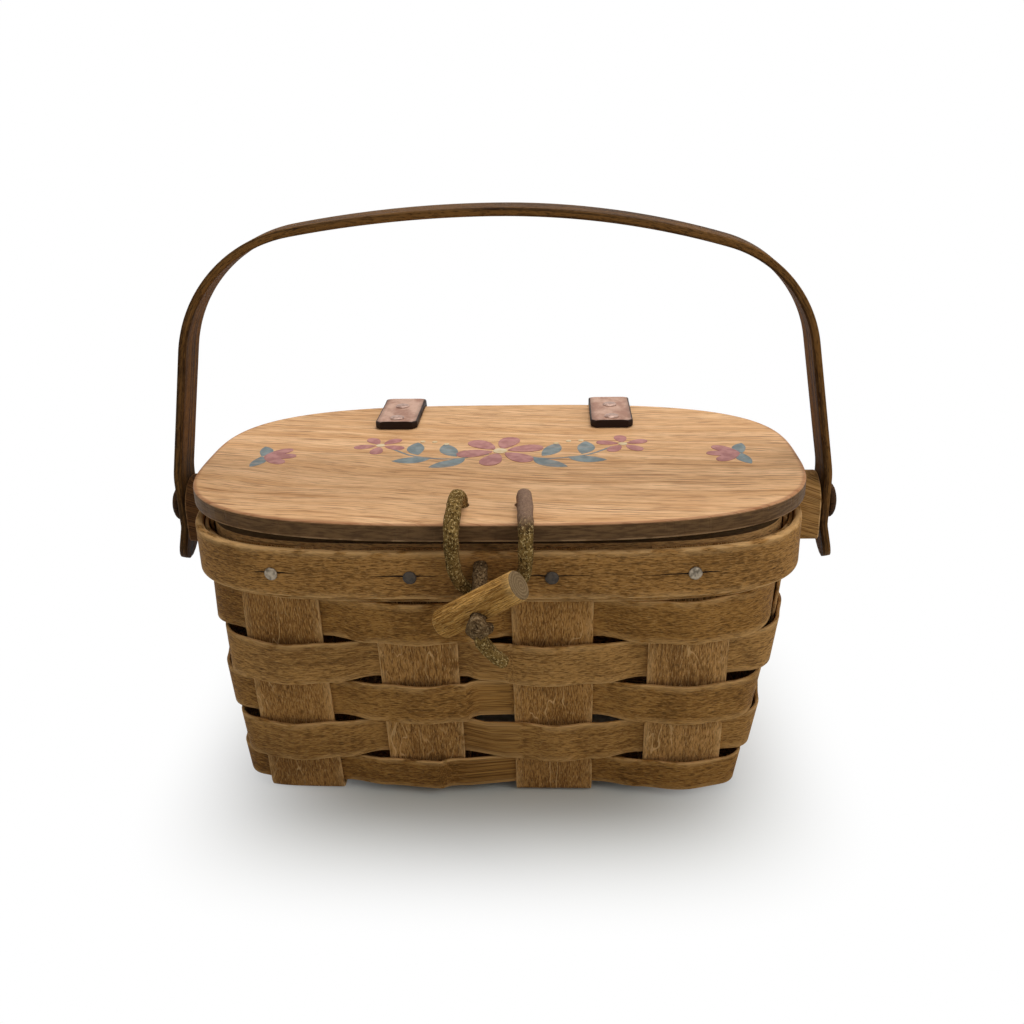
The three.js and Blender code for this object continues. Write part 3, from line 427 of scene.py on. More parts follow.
class Shader(Graph):
    def __init__(self, name):
        self.material = bpy.data.materials.new(name)
        self.material.use_nodes = True
        super().__init__(self.material.node_tree)

    def grain_place(self, seed):
        """Coordinates along and across the grain, in metres, moved on for each piece."""
        flat = self.add("ShaderNodeUVMap", uv_map="grain")
        return self.vector("ADD", flat, (seed * 0.731, seed * 0.317, seed * 0.53))

    def wear(self):
        return self.add("ShaderNodeAttribute", out="Fac", attribute_name="wear")

    def vector(self, operation, a, b):
        return self.add("ShaderNodeVectorMath", {0: a, 1: b}, operation=operation)

    def noise(self, place, scale, detail=2.0, roughness=0.55, distortion=0.0):
        inputs = {"Vector": self.vector("MULTIPLY", place, scale), "Scale": 1.0, "Detail": detail,
                  "Roughness": roughness, "Distortion": distortion}
        return self.add("ShaderNodeTexNoise", inputs, "Fac")

    def spots(self, place, scale, low, high, detail=2.0, roughness=0.55):
        return self.step(self.noise(place, scale, detail, roughness), low, high)

    def mix(self, factor, *colours):
        a, b = [srgb(*c) if isinstance(c, tuple) and len(c) == 3 else c for c in colours]
        return self.add("ShaderNodeMix", {0: factor, 6: a, 7: b}, 2, data_type="RGBA")

    def lay(self, over, *shares):
        """Lays a colour over the shader's own, by the product of the shares."""
        self.colour = self.mix(self.times(*shares), self.colour, over)

    def finish(self, bump, rough, specular=0.5, metallic=0.0):
        """Takes bump as (height, depth, strength), and rough as (value, its low, its high)."""
        height, depth, strength = bump
        normal = self.add("ShaderNodeBump", {"Height": height, "Distance": depth, "Strength": strength})
        value, low, high = rough
        inputs = {"Base Color": self.colour, "Roughness": self.step(value, 0.3, 0.7, low, high),
                  "Metallic": metallic, "Specular IOR Level": specular, "Normal": normal}
        for key, value in inputs.items():
            self.feed(self.tree.nodes["Principled BSDF"].inputs[key], value)
        return self.material


def splint_wood(name, dark, light, fleck, seed, ticks=0.4, edge=0.6, ray=0.0, fibre=(400, 2400),
                broad=(55, 700), shares=(0.55, 0.2, 0.25), shade_above=None):
    """A stained split-wood strip: short fine fibres, light ticks and rays, dark pores, paler worn edges.

    Above a given level, in millimetres, it is painted nearly black: painted shade that stands for the shadow under
    the lid's edge.
    """
    s = Shader(name)
    place = s.grain_place(seed)
    fine = s.noise(place, (*fibre, 1), 3, 0.65)
    wide = s.noise(place, (*broad, 1))
    cloud = s.noise(s.object_place(), (38, 38, 38))
    tone = s.total(*zip((fine, wide, cloud), shares))
    s.colour = s.mix(s.step(tone, 0.402, 0.582), dark, light)
    s.lay(fleck, s.spots(place, (480, 2800, 1), 0.56, 0.66), ticks)
    pore = s.spots(place, (480, 3300, 3), 0.54, 0.66)
    s.lay(darker(dark, 0.34), pore, 0.66)
    if ray:
        level = s.noise(place, (45, 170, 7), 2, 0.45, 0.3)
        line = s.step(s.math("ABSOLUTE", s.plus(level, -0.5)), 0.013, 0.004)
        few = s.spots(place, (30, 80, 2), 0.46, 0.56)
        s.lay(fleck, line, few, ray)
    scuff = s.spots(place, (140, 400, 5), 0.35, 0.55, 3)
    s.lay(fleck, scuff, edge, s.wear())
    # Painted shade: nearly black above the given level.
    if shade_above:
        z = s.split(s.object_place())[2]
        painted_shade = s.step(z, shade_above * MM, (shade_above + 0.35) * MM, 0, 0.9)
        s.lay(darker(dark, 0.034), painted_shade)
    height = s.total((fine, 0.7), (pore, -0.5))
    return s.finish((height, 0.00026, 0.9), (tone, 0.6, 0.8), 0.08)


def suede(name, seed, dark, light, speck, smooth=None):
    """Napped lace with pale specks and dark pits; past the length smooth its other, smoother face shows."""
    s = Shader(name)
    place = s.grain_place(seed)
    nap = s.noise(place, (1500, 1500, 1), 3, 0.7)
    patch = s.noise(place, (170, 170, 2))
    s.colour = s.mix(s.step(s.total((nap, 0.6), (patch, 0.4)), 0.4, 0.6), dark, light)
    s.lay(speck, s.spots(place, (1700, 1700, 4), 0.55, 0.65), 0.75)
    s.lay(darker(dark, 0.25), s.spots(place, (1600, 1600, 9), 0.55, 0.65), 0.75)
    if smooth:
        far = s.plus(s.split(s.grain_place(0))[0], s.times(patch, 0.008))
        other = s.mix(nap, (112, 86, 70), (164, 134, 116))
        s.lay(other, s.step(far, smooth, smooth + 0.008, 0, 0.85))
    return s.finish((nap, 0.0005, 1.0), (nap, 0.85, 1.0), 0.06)


def leather(name, seed):
    """Strap leather, its colours lightened as painted sheen, with paler painted-sheen patches and nearly black cut
    edges.
    """
    s = Shader(name)
    place = s.grain_place(seed)
    fine = s.vector("MULTIPLY", place, (1500, 1500, 1))
    cells = s.add("ShaderNodeTexVoronoi", {"Vector": fine, "Scale": 1.0}, "Distance")
    sheen_patches = s.noise(place, (420, 520, 3), 3)
    # The pale colours, and the paler patches laid over them, are painted sheen.
    s.colour = s.mix(s.spots(place, (120, 160, 1), 0.35, 0.65, 3), (164, 121, 101), (204, 165, 143))
    s.lay((216, 183, 164), s.step(sheen_patches, 0.5, 0.7), 0.3)
    s.lay((36, 20, 12), s.wear())
    height = s.total((cells, 0.5), (sheen_patches, 0.5))
    return s.finish((height, 0.0002, 0.6), (sheen_patches, 0.5, 0.65), 0.16)


def metal(name, dark, light, roughness, metallic, seed):
    s = Shader(name)
    place = s.object_place()
    spot = s.noise(s.vector("ADD", place, (seed, seed, seed)), (900, 900, 900), 3)
    wide = s.noise(s.vector("ADD", place, (seed, 0, 0)), (240, 240, 240))
    tone = s.total((spot, 0.55), (wide, 0.45))
    s.colour = s.mix(s.step(tone, 0.36, 0.62), dark, light)
    return s.finish((spot, 0.00022, 0.8), (tone, *roughness), metallic=metallic)


def lid_wood(name):
    """Oiled oak: wavy broken grain lines along X, a stained upper edge and a dark side, with a patchy painted
    highlight along its foot.
    """
    s = Shader(name)
    place = s.object_place()
    x, y, z = s.split(place)
    slope = s.plus(s.times(x, -0.6), 0.13)
    rise = s.plus(s.times(x, slope), s.times(s.noise(place, (8, 26, 1)), 0.02))
    wavy = s.vector("ADD", place, s.add("ShaderNodeCombineXYZ", {1: rise}))
    ring = s.noise(wavy, (7, 210, 40), 5, 0.75)
    fine = s.noise(wavy, (110, 1500, 60), 4, 0.65)
    s.colour = s.mix(s.step(ring, 0.34, 0.66), (240, 194, 145), (216, 166, 116))
    s.lay((176, 124, 74), s.step(fine, 0.44, 0.66), 0.5)
    line = s.spots(wavy, (9, 820, 30), 0.55, 0.62)
    broken = s.spots(place, (40, 260, 9), 0.4, 0.6, 3)
    s.lay((138, 88, 44), line, broken, 0.6)
    pore = s.spots(wavy, (110, 2300, 80), 0.58, 0.68, 1)
    s.lay((124, 79, 40), pore, 0.5)
    cloud = s.noise(place, (26, 40, 20))
    s.lay((188, 132, 80), s.step(cloud, 0.45, 0.75, 0, 0.3))

    # How far out on the lid's outline a place is: 1 on its edge
    far = []
    for value, half in ((x, LID[0]), (s.plus(y, -(LID_Y + SHIFT_Y) * MM), LID[1])):
        far.append(s.math("POWER", s.math("ABSOLUTE", s.math("DIVIDE", value, half * MM)), LID[2]))
    reach = s.math("POWER", s.plus(*far), 1 / LID[2])
    outer = s.step(reach, 0.955, 0.97)
    blur = s.times(s.plus(s.noise(place, (260, 260, 260), 3), -0.5), 0.012)
    s.lay((156, 98, 66), s.step(s.plus(reach, blur), 0.983, 0.993), 0.55)
    side = s.step(z, (LID_TOP - 0.35) * MM, (LID_TOP - 0.75) * MM)
    comb = s.spots(s.grain_place(4), (1200, 160, 1), 0.36, 0.64, 3, 0.65)
    s.lay(s.mix(comb, (84, 60, 36), (114, 85, 54)), side, outer)
    # A patchy light line along the lid's foot is painted highlight.
    low = s.step(z, (LID_BOTTOM + 1.0) * MM, (LID_BOTTOM + 0.6) * MM)
    highlight_patches = s.step(s.noise(place, (130, 130, 130), 3), 0.38, 0.56, 0.2, 0.8)
    s.lay((170, 136, 100), low, outer, highlight_patches)
    height = s.total((fine, 0.6), (pore, -0.8))
    return s.finish((height, 0.00018, 0.7), (ring, 0.5, 0.65), 0.12)


def paint(name, base, deep, seed):
    """Thin hand-laid colour that the grain shows through."""
    s = Shader(name)
    place = s.object_place()
    load = s.noise(s.vector("ADD", place, (seed, seed, 0)), (240, 240, 10), 3)
    s.colour = s.mix(s.step(load, 0.35, 0.65), base, deep)
    thin = s.spots(place, (42, 1500, 60), 0.52, 0.72, 3)
    s.lay((190, 142, 98), thin, 0.4)
    return s.finish((load, 0.0001, 0.5), (load, 0.5, 0.65))


def end_grain(name):
    s = Shader(name)
    place = s.grain_place(0)
    size = s.add("ShaderNodeVectorMath", {0: place}, "Value", operation="LENGTH")
    blur = s.noise(place, (500, 500, 1), 3)
    rings = s.math("SINE", s.total((size, 6200.0), (blur, 5.0)))
    fine = s.noise(place, (2200, 2200, 1))
    s.colour = s.mix(s.step(rings, -0.6, 0.9), (112, 91, 64), (136, 113, 82))
    s.lay((84, 66, 46), s.step(fine, 0.5, 0.7, 0, 0.6))
    return s.finish((fine, 0.0002, 0.8), (fine, 0.6, 0.8), 0.08)


STAKE_WOODS = [
    splint_wood(f"stake_wood_{k}", toned((122, 82, 38), t), toned((180, 131, 74), t), (222, 178, 122), k, ray=0.65)
    for k, t in enumerate((0, 3, 0, 9, -4, 2))
]
WEAVER_WOODS = [
    splint_wood(f"weaver_wood_{k}", toned((117, 79, 35), t), toned((173, 126, 68), t), (208, 163, 106), 11 + k,
                0.28, 0.95)
    for k, t in enumerate((-7, 3, -2, 10, -4))
]
OUTER_WOOD = splint_wood("outer_band_wood", (122, 84, 40), (180, 131, 73), (212, 168, 112), 21, 0.28, 0.8)
UNDER_WOOD = splint_wood("under_band_wood", (114, 77, 36), (166, 120, 65), (210, 166, 110), 22, 0.24, 0.95)
# The inner band's top 2 mm is painted nearly black, as painted shade beneath the lid's edge.
INNER_WOOD = splint_wood("inner_band_wood", (176, 130, 78), (216, 168, 108), (234, 192, 138), 23, 0.25,
                         shade_above=INNER_TOP - 2.0)
# The two ears are one wood: the left ear's darker colours are painted shade, the right ear's are its lit colour.
EAR_WOODS = {
    -1: splint_wood("ear_wood_left_painted_shade", (70, 42, 20), (112, 74, 40), (150, 108, 66), 29, 0.2),
    1: splint_wood("ear_wood_right", (132, 92, 48), (188, 142, 84), (216, 172, 118), 24, 0.3),
}
HANDLE_WOOD = splint_wood("handle_wood", (46, 26, 8), (120, 82, 40), (156, 116, 68), 25, 0.2, 0.1,
                          fibre=(36, 1300), broad=(5, 560), shares=(0.36, 0.5, 0.14))
TOGGLE_WOOD = splint_wood("toggle_wood", (138, 94, 40), (216, 164, 90), (234, 190, 122), 26, 0.4, 0.35,
                          fibre=(160, 2300))
CRACK_WOOD = splint_wood("crack_wood", (22, 12, 5), (36, 22, 10), (46, 30, 16), 27, 0.1, 0.1)
PIVOT_WOOD = splint_wood("pivot_dark", (36, 21, 10), (74, 48, 26), (96, 66, 38), 28, 0.2, 0.3)
LID_WOOD = lid_wood("lid_wood")
STRAP_LEATHER = {-1: leather("strap_leather_left", 1), 1: leather("strap_leather_right", 2)}
LOOP_SUEDE = suede("loop_suede", 3, (76, 55, 23), (138, 109, 61), (214, 184, 126), 0.088)
TAIL_SUEDE = suede("tail_suede", 4, (76, 55, 23), (138, 109, 61), (214, 184, 126))
THONG_SUEDE = suede("thong_suede", 5, (74, 55, 34), (122, 97, 66), (154, 129, 96))
NAIL_BRIGHT = metal("nail_bright", (92, 82, 68), (168, 154, 134), (0.35, 0.55), 0.7, 1)
NAIL_DULL = metal("nail_dull", (44, 37, 30), (74, 64, 54), (0.5, 0.65), 0.5, 2)
RIVET_BRONZE = metal("rivet_bronze", (134, 98, 82), (192, 158, 140), (0.35, 0.5), 0.25, 3)
WASHER_STEEL = metal("washer_steel", (96, 92, 86), (160, 156, 150), (0.3, 0.5), 0.9, 5)


# Cords: the loop on the lid and the toggle's thong
LOOP_ROUTE = [
    (-10.0, -45.5, 103.1), (-10.0, -45.5, 108.2), (-10.1, -46.8, 111.4), (-10.3, -49.8, 113.2),
    (-10.6, -54.0, 113.4), (-10.8, -58.6, 112.5), (-11.0, -62.6, 110.4), (-11.1, -65.8, 106.4),
    (-11.0, -66.5, 101.0), (-10.6, -65.3, 95.8), (-8.9, -64.3, 91.0), (-5.2, -63.9, 87.4), (0.0, -63.9, 86.0),
]
TOGGLE_CENTRE = np.array((-2.9, -73.4, 88.0))
TOGGLE_AXIS = np.array((0.778, -0.281, 0.562))
TOGGLE_AXIS /= np.linalg.norm(TOGGLE_AXIS)
TOGGLE_HOLE = np.array((0.02343, -0.88083, -0.47285))
THONG_ROUTE = [(-3.0, -49.0, 95.2), (-3.0, -56.0, 95.2), (-3.0, -61.6, 94.6)]
THONG_ROUTE += [tuple(TOGGLE_CENTRE + step * TOGGLE_HOLE) for step in (-9, -6, 0, 6, 9)]
TAIL_ROUTE = [(-2.7, -81.4, 83.7), (-1.4, -80.5, 79.2), (1.2, -78.7, 74.6), (4.2, -76.5, 70.6)]


def knot(name, middle, axis, size, lace, seed, spin=0.0):
    """A tight overhand knot: a threefold lace round its own middle."""
    axis, e1, e2 = square_to(axis, (1, 0, 0))
    t = circle(90)
    x = np.sin(t + spin) + 2 * np.sin(2 * t + spin)
    y = np.cos(t + spin) - 2 * np.cos(2 * t + spin)
    flat = (size - lace) / 3 * (np.outer(x, e1) + np.outer(y, e2))
    line = np.array(middle) + flat - 0.62 * lace * np.outer(np.sin(3 * t), axis)
    return tube(name, line, lace, seed, 2.3, 0.08, 14, True, first=axis)


def make_loop():
    line = smooth_curve(LOOP_ROUTE + [(-x, y, z) for x, y, z in reversed(LOOP_ROUTE[:-1])], 0.9)
    low = np.exp(-((line[:, 2] - 84) / 11) ** 2)
    loop = tube("suede_loop", line, LACE_RADIUS, 31, spread=1.04 - 0.24 * low)
    dress(loop, LOOP_SUEDE, None, "suede", "lid_loop")
    for side, name in SIDES:
        middle = (side * LOOP_HOLE_X, LOOP_HOLE_Y, LOOP_KNOT_Z)
        tied = knot(f"suede_loop_knot_{name}", middle, (0.2, 0.1, 1), 4.0, 1.7, 33 + side)
        dress(tied, LOOP_SUEDE, "lid", "suede", f"loop_knot_{name}")
    bend_from = tuple(to_frame((0, -47, 112)))
    bend_to = tuple(to_frame((0, -54, 112)))
    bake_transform(loop)
    path = to_frame(line)


def make_thong():
    line = smooth_curve(THONG_ROUTE, 0.8)
    thong = tube("suede_thong", line, 2.16, 41)
    dress(thong, THONG_SUEDE, "basket", "suede", "toggle_thong")
    inner = knot("suede_thong_knot_inside", (-3, -48.4, 95.2), (0, 1, 0.1), 4.0, 1.7, 43)
    tied_at = TOGGLE_CENTRE + 8.6 * TOGGLE_HOLE
    outer = knot("suede_thong_knot_outside", tied_at, TOGGLE_HOLE, 4.5, 1.75, 44, 0.6)
    tail_line = smooth_curve(TAIL_ROUTE, 0.8)
    thin = np.linspace(1, 0.86, len(tail_line))
    tail = tube("suede_thong_tail", tail_line, 2.2, 45, 2.6, spread=thin)
    for part, material in ((inner, TAIL_SUEDE), (outer, THONG_SUEDE), (tail, TAIL_SUEDE)):
        dress(part, material, "basket", "suede")
    path = to_frame(line)


make_loop()
make_thong()


# Woven wall
def wall_outline(z):
    t = np.clip(z / UNDER_BOTTOM, 0, 1)
    return tuple(low + (high - low) * t for low, high in zip(BASE, WALL_TOP))


def outline_normal(outline, x, y):
    a, b, n, c = outline
    nx = np.sign(x - c) * np.abs((x - c) / a) ** (n - 1) / a
    ny = np.sign(y) * np.abs(y / b) ** (n - 1) / b
    size = np.hypot(nx, ny)
    return nx / size, ny / size


def outline_point(outline, angle, offset=0.0):
    a, b, n, middle = outline
    c, s = np.cos(angle), np.sin(angle)
    x = middle + a * np.sign(c) * np.abs(c) ** (2 / n)
    y = b * np.sign(s) * np.abs(s) ** (2 / n)
    nx, ny = outline_normal(outline, x, y)
    return x + nx * offset, y + ny * offset


def outline_reach(outline, cross, on_end, side=1):
    """Where an outline's end, or its long side, is at a place across that."""
    a, b, n, c = outline
    if on_end:
        return c + side * a * (1 - np.abs(cross / b) ** n) ** (1 / n)
    return side * b * (1 - np.abs((cross - c) / a) ** n) ** (1 / n)


def outline_run(outline, start=0.0):
    """Fine angles round an outline, and the distance run to each."""
    fine = start + np.linspace(0, 2 * np.pi, 24001)
    x, y = outline_point(outline, fine)
    return fine, np.append(0, np.cumsum(np.hypot(np.diff(x), np.diff(y))))


def even_angles(outline, count, start=0.0):
    """Angles at even distances round an outline, the distance to each, and the whole distance."""
    fine, run = outline_run(outline, start)
    even = np.linspace(0, run[-1], count, endpoint=False)
    return np.interp(even, run, fine), even, run[-1]


def angle_by_x(outline, x, side):
    a, _, n, c = outline
    lean = np.arccos(np.minimum(1, np.abs((x - c) / a)) ** (n / 2))
    return side * np.where(x < c, np.pi - lean, lean)


def angle_by_y(outline, y, side):
    _, b, n, _ = outline
    lean = np.arcsin(np.minimum(1, np.abs(y / b)) ** (n / 2))
    return np.where(y < 0, -1, 1) * (np.pi - lean if side < 0 else lean)


def crossing_angles(outline):
    """Angles across each stake that a hoop meets, in order from the front's left stake."""
    e = np.linspace(-CROSSING_HALF, CROSSING_HALF, 9)
    spans = [angle_by_x(outline, x + e, -1) for x in CROSS_STAKES]
    spans += [angle_by_y(outline, y + e, 1) for y in LONG_STAKES]
    spans += [angle_by_x(outline, x - e, 1) for x in reversed(CROSS_STAKES)]
    spans += [angle_by_y(outline, y - e, -1) for y in reversed(LONG_STAKES)]
    angles = np.array(spans)
    return np.where(angles < angles[0, 0] - 1e-9, angles + 2 * np.pi, angles)


def closed_run(angles):
    return np.append(angles.ravel(), angles[0, 0] + 2 * np.pi)


def make_weaver(row):
    top = FOOT_TOP + row * ROW_PITCH - 0.2
    bottom = FOOT_TOP + (row - 1) * ROW_PITCH + 0.2 if row else FOOT_BOTTOM
    first = -1 if row % 2 == 0 else 1
    middle = wall_outline((bottom + top) / 2)
    crossings = crossing_angles(middle)
    angle, run, total = even_angles(middle, 400, crossings[0, 0])
    spans = np.interp(crossings[:, [0, -1]], *outline_run(middle, crossings[0, 0]))
    offset = np.zeros_like(run)
    for i, (begin, end) in enumerate(spans):
        side = first if i % 2 == 0 else -first
        on = (run >= begin) & (run <= end)
        share = (run[on] - begin) / (end - begin)
        offset[on] = side * LAYER + (WEAVER_SWELL if side > 0 else 0) * np.sin(share * np.pi) ** 2
        after = spans[i + 1][0] if i + 1 < len(spans) else spans[0][0] + total
        between = (run > end) & (run < after)
        offset[between] = side * LAYER * np.cos((run[between] - end) / (after - end) * np.pi)
    rise = np.abs(ripple(run / total, 0.3, 50 + row, (3, 7, 11, 17)))
    sink = np.abs(ripple(run / total, 0.34, 60 + row, (4, 6, 13, 19)))
    if row:
        rise += 1.1 * np.clip(0.5 - offset / (2 * LAYER), 0, 1)
    width = top - bottom
    s, o, near, v = splint_section(width, SPLINT, SPLINT_EDGE)
    edges = []
    for outline in (wall_outline(bottom), wall_outline(top)):
        there = np.interp(angle, closed_run(crossings), closed_run(crossing_angles(outline)))
        edges.append(np.array(outline_point(outline, there[:, None], offset[:, None] + o)))
    low, high = edges
    z = bottom + rise[:, None] + np.outer(width - rise - sink, s / width + 0.5)
    lift = (z - bottom) / width
    grid = np.stack([*(low + (high - low) * lift), z], -1)
    piece = lofted(f"woven_weaver_{row + 1}", grid, np.append(run, total) * MM, v, near, True)
    dress(piece, WEAVER_WOODS[row], "basket", "weaver_wood", f"weaver_{row + 1}")


def make_stake(name, number, middle, crossings, levels, on_end):
    face_points = 11
    s, o, near, v = splint_section(STAKE_WIDTH, SPLINT, SPLINT_EDGE, face_points)
    cross = middle + s
    lengthwise = 0 if on_end else 1

    def placed(out, height):
        return np.stack([out, cross, height] if on_end else [cross, out, height], -1)

    def wall(z, side):
        outline = wall_outline(z)
        row = placed(outline_reach(outline, cross, on_end, side), np.full_like(s, z))
        row[:, :2] += np.stack(outline_normal(outline, row[:, 0], row[:, 1]), -1) * o[:, None]
        return row

    def bend(level, turn, side):
        z = level + BEND_RADIUS
        out = outline_reach(wall_outline(z), cross, on_end, side)
        in_bend = side * ((BEND_RADIUS + o) * math.cos(turn) - BEND_RADIUS)
        return placed(out + in_bend, z - (BEND_RADIUS + o) * math.sin(turn))

    def heights(level):
        return np.linspace(level + BEND_RADIUS, STAKE_TOP, 44)

    turns = np.linspace(0, np.pi / 2, 9)[1:]
    rows = [wall(z, -1) for z in heights(levels[0])[::-1]]
    rows += [bend(levels[0], turn, -1) for turn in turns]
    start = float(rows[-1][:, lengthwise].max())
    end = float(bend(levels[-1], np.pi / 2, 1)[:, lengthwise].min())
    knots_at, knots_level = [start], [levels[0]]
    for place, level in zip(crossings, levels):
        knots_at += [place - CROSSING_HALF, place + CROSSING_HALF]
        knots_level += [level, level]
    for out in np.linspace(start + 1, end - 1, 60):
        place = np.interp(out, knots_at, np.arange(len(knots_at)))
        k = min(int(place), len(knots_at) - 2)
        blend = (1 - math.cos((place - k) * math.pi)) / 2
        level = knots_level[k] + (knots_level[k + 1] - knots_level[k]) * blend
        rows.append(placed(np.full_like(s, out), level - o))
    rows += [bend(levels[-1], turn, 1) for turn in turns[::-1]]
    rows += [wall(z, 1) for z in heights(levels[-1])]
    grid = np.array(rows)
    run = along(grid[:, face_points // 2])
    grid[:, :, 1 - lengthwise] += np.outer(ripple(run / run[-1], 0.28, 70 + number), s / STAKE_WIDTH * 2)
    piece = lofted(f"woven_{name}", grid, run, v, near)
    dress(piece, STAKE_WOODS[number], "basket", "stake_wood", name)


for row in range(WEAVER_ROWS):
    make_weaver(row)
for i, x in enumerate(CROSS_STAKES):
    levels = [BASE_LEVELS[(i + j) % 2] for j in range(2)]
    make_stake(f"cross_stake_{i + 1}", i, x, LONG_STAKES, levels, False)
for j, y in enumerate(LONG_STAKES):
    levels = [BASE_LEVELS[(i + j + 1) % 2] for i in range(4)]
    make_stake(f"long_stake_{j + 1}", 4 + j, y, CROSS_STAKES, levels, True)


# Rim bands
def inset(depth):
    return RIM[0] - depth, RIM[1] - depth, RIM[2], 0.0


def make_band(name, node, depth, thickness, bottom, top, radius, material, seed):
    middle = depth + thickness / 2
    angle, run, total = even_angles(inset(middle), 420)
    s, o, near, v = splint_section(top - bottom, thickness, radius, 9, 5)
    x, y = np.array([outline_point(inset(d), angle) for d in middle - o]).transpose(1, 2, 0)
    lean = np.clip(s / (top - bottom), -0.5, 0.5)
    z = (bottom + top) / 2 + s - np.outer(np.abs(ripple(run / total, 0.22, seed)), lean)
    piece = lofted(name, np.stack([x, y, z], -1), np.append(run, total) * MM, v, near, True)
    dress(piece, material, "basket", "rim_wood", node)


make_band("rim_hoop_outer", "outer_rim_band", 0, BAND_THICKNESS, BAND_BOTTOM, RIM_TOP, 0.75, OUTER_WOOD, 81)
make_band("rim_hoop_under", "under_rim_band", 2.7, SPLINT, UNDER_BOTTOM, UNDER_TOP, SPLINT_EDGE, UNDER_WOOD, 82)
make_band("rim_hoop_inner", "inner_rim_band", 5.7, BAND_THICKNESS, INNER_BOTTOM, INNER_TOP, 0.7, INNER_WOOD, 83)


# Rim nails, and the short splits that they start in the outer band
def nail_spots():
    """Where the outer band crosses each stake, in order from the front's left stake."""
    back = [(x, float(outline_reach(RIM, x, False))) for x in CROSS_STAKES]
    right = [(float(outline_reach(RIM, y, True)), y) for y in LONG_STAKES]
    return [(x, -y) for x, y in back] + right + back[::-1] + [(-x, y) for x, y in reversed(right)]


def make_nails():
    rng = random.Random(90)
    for k, (x, y) in enumerate(nail_spots()):
        nx, ny = outline_normal(RIM, x, y)
        seat = (x + nx * 0.05, y + ny * 0.05, NAIL_Z + rng.uniform(-0.5, 0.5))
        bright = k % 4 in (0, 3)
        dome = 1.0 if bright else 0.62
        profile = [(0, -6.5), (0.85, -6.5), (0.85, 0), (1.95, 0), (2.12, 0.12), (2.14, 0.42 * dome),
                   (2.0, 0.72 * dome), (1.5, 0.92 * dome), (0.8, 1.02 * dome), (0, 1.05 * dome)]
        piece = turned(f"rim_nail_head_{k + 1:02d}", profile, (nx, ny, 0), seat, 22, 50)
        for vertex in piece.data.vertices:
            vertex.co += Vector([rng.uniform(-1, 1) for _ in range(3)]) * 0.00006
        dress(piece, NAIL_BRIGHT if bright else NAIL_DULL, "basket", "nail_steel", f"rim_nail_{k + 1:02d}")


def make_cracks():
    rng = random.Random(91)
    fine, run = outline_run(RIM)
    a, b, n, _ = RIM
    shares = np.linspace(0, 1, 9)
    points, faces, uvs = [], [], []
    for x, y in nail_spots():
        angle = math.atan2(np.sign(y) * abs(y / b) ** (n / 2), np.sign(x) * abs(x / a) ** (n / 2))
        home = float(np.interp(angle % (2 * math.pi), fine, run))
        for side, _ in SIDES:
            length, rise, thick = rng.uniform(4.5, 13), rng.uniform(-0.5, 0.5), rng.uniform(0.15, 0.27)
            made = skin(len(shares), 4, np.arange(9) * 0.001, np.arange(5) * 0.0005, base=len(points))
            faces += made[0]
            uvs += made[1]
            for share in shares:
                place = np.interp((home + side * (1.6 + share * length)) % run[-1], run, fine)
                half = thick * (1 - share) ** 0.7 + 0.03
                z = NAIL_Z + rise * share + 0.12 * math.sin(5 * share + rise)
                for depth, dz in ((-0.03, half), (-0.03, -half), (0.3, -half), (0.3, half)):
                    points.append((*outline_point(RIM, place, -depth), z + dz))
    dress(make_mesh("rim_band_splits", points, faces, uvs), CRACK_WOOD, "basket", "rim_wood")


make_nails()
make_cracks()


# Handle, ears and pivots
def arc(centre, radius, turns):
    return [(centre[0] + radius * math.cos(turn), centre[1] + radius * math.sin(turn)) for turn in turns]


def handle_half(corner, crown):
    """One arm's middle line in (x, z), from its foot to the crown: corner and crown are bend radii."""
    lean, hip, straight = math.radians(10.1), 30.0, 9.5
    line = [(ARM_X + 3, PIVOT_Z - 21), (ARM_X, PIVOT_Z - 7), (ARM_X, PIVOT_Z + straight)]
    line += arc((ARM_X - hip, PIVOT_Z + straight), hip, np.linspace(0, lean, 9)[1:])
    up_arm = np.array((-math.sin(lean), math.cos(lean)))
    inward = np.array((-math.cos(lean), -math.sin(lean)))
    crown_centre = np.array((0, HANDLE_TOP - crown))
    from_crown = np.array(line[-1]) + corner * inward - crown_centre
    run = from_crown.dot(up_arm)
    reach = -run + math.sqrt(run ** 2 - from_crown.dot(from_crown) + (crown - corner) ** 2)
    centre = from_crown + reach * up_arm + crown_centre
    end = math.atan2(centre[1] - crown_centre[1], centre[0])
    line += arc(centre, corner, np.linspace(lean, end, 40))
    return line + arc(crown_centre, crown, np.linspace(end, math.pi / 2, 40)[1:])


def make_handle():
    right, left = handle_half(42.0, 270.0), handle_half(48.0, 400.0)
    line = resampled(right + [(-x, z) for x, z in reversed(left[:-1])], 330)
    run = along(line)
    from_end = np.minimum(run, run[-1] - run) / MM + 0.25
    round_end = HANDLE_WIDTH / 2
    half = np.sqrt(round_end ** 2 - (round_end - np.minimum(from_end, round_end)) ** 2)
    width = half / round_end + ripple(run / run[-1], 0.012, 95, (3, 5, 9))
    s, o, near, v = splint_section(HANDLE_WIDTH, HANDLE_THICKNESS, 0.8, 9, 5)
    x, z = stood_off(line, o)
    piece = lofted("bentwood_handle", np.stack([x, np.outer(width, s), z], -1), run, v, near)
    dress(piece, HANDLE_WOOD, "handle", "handle_wood", "handle")


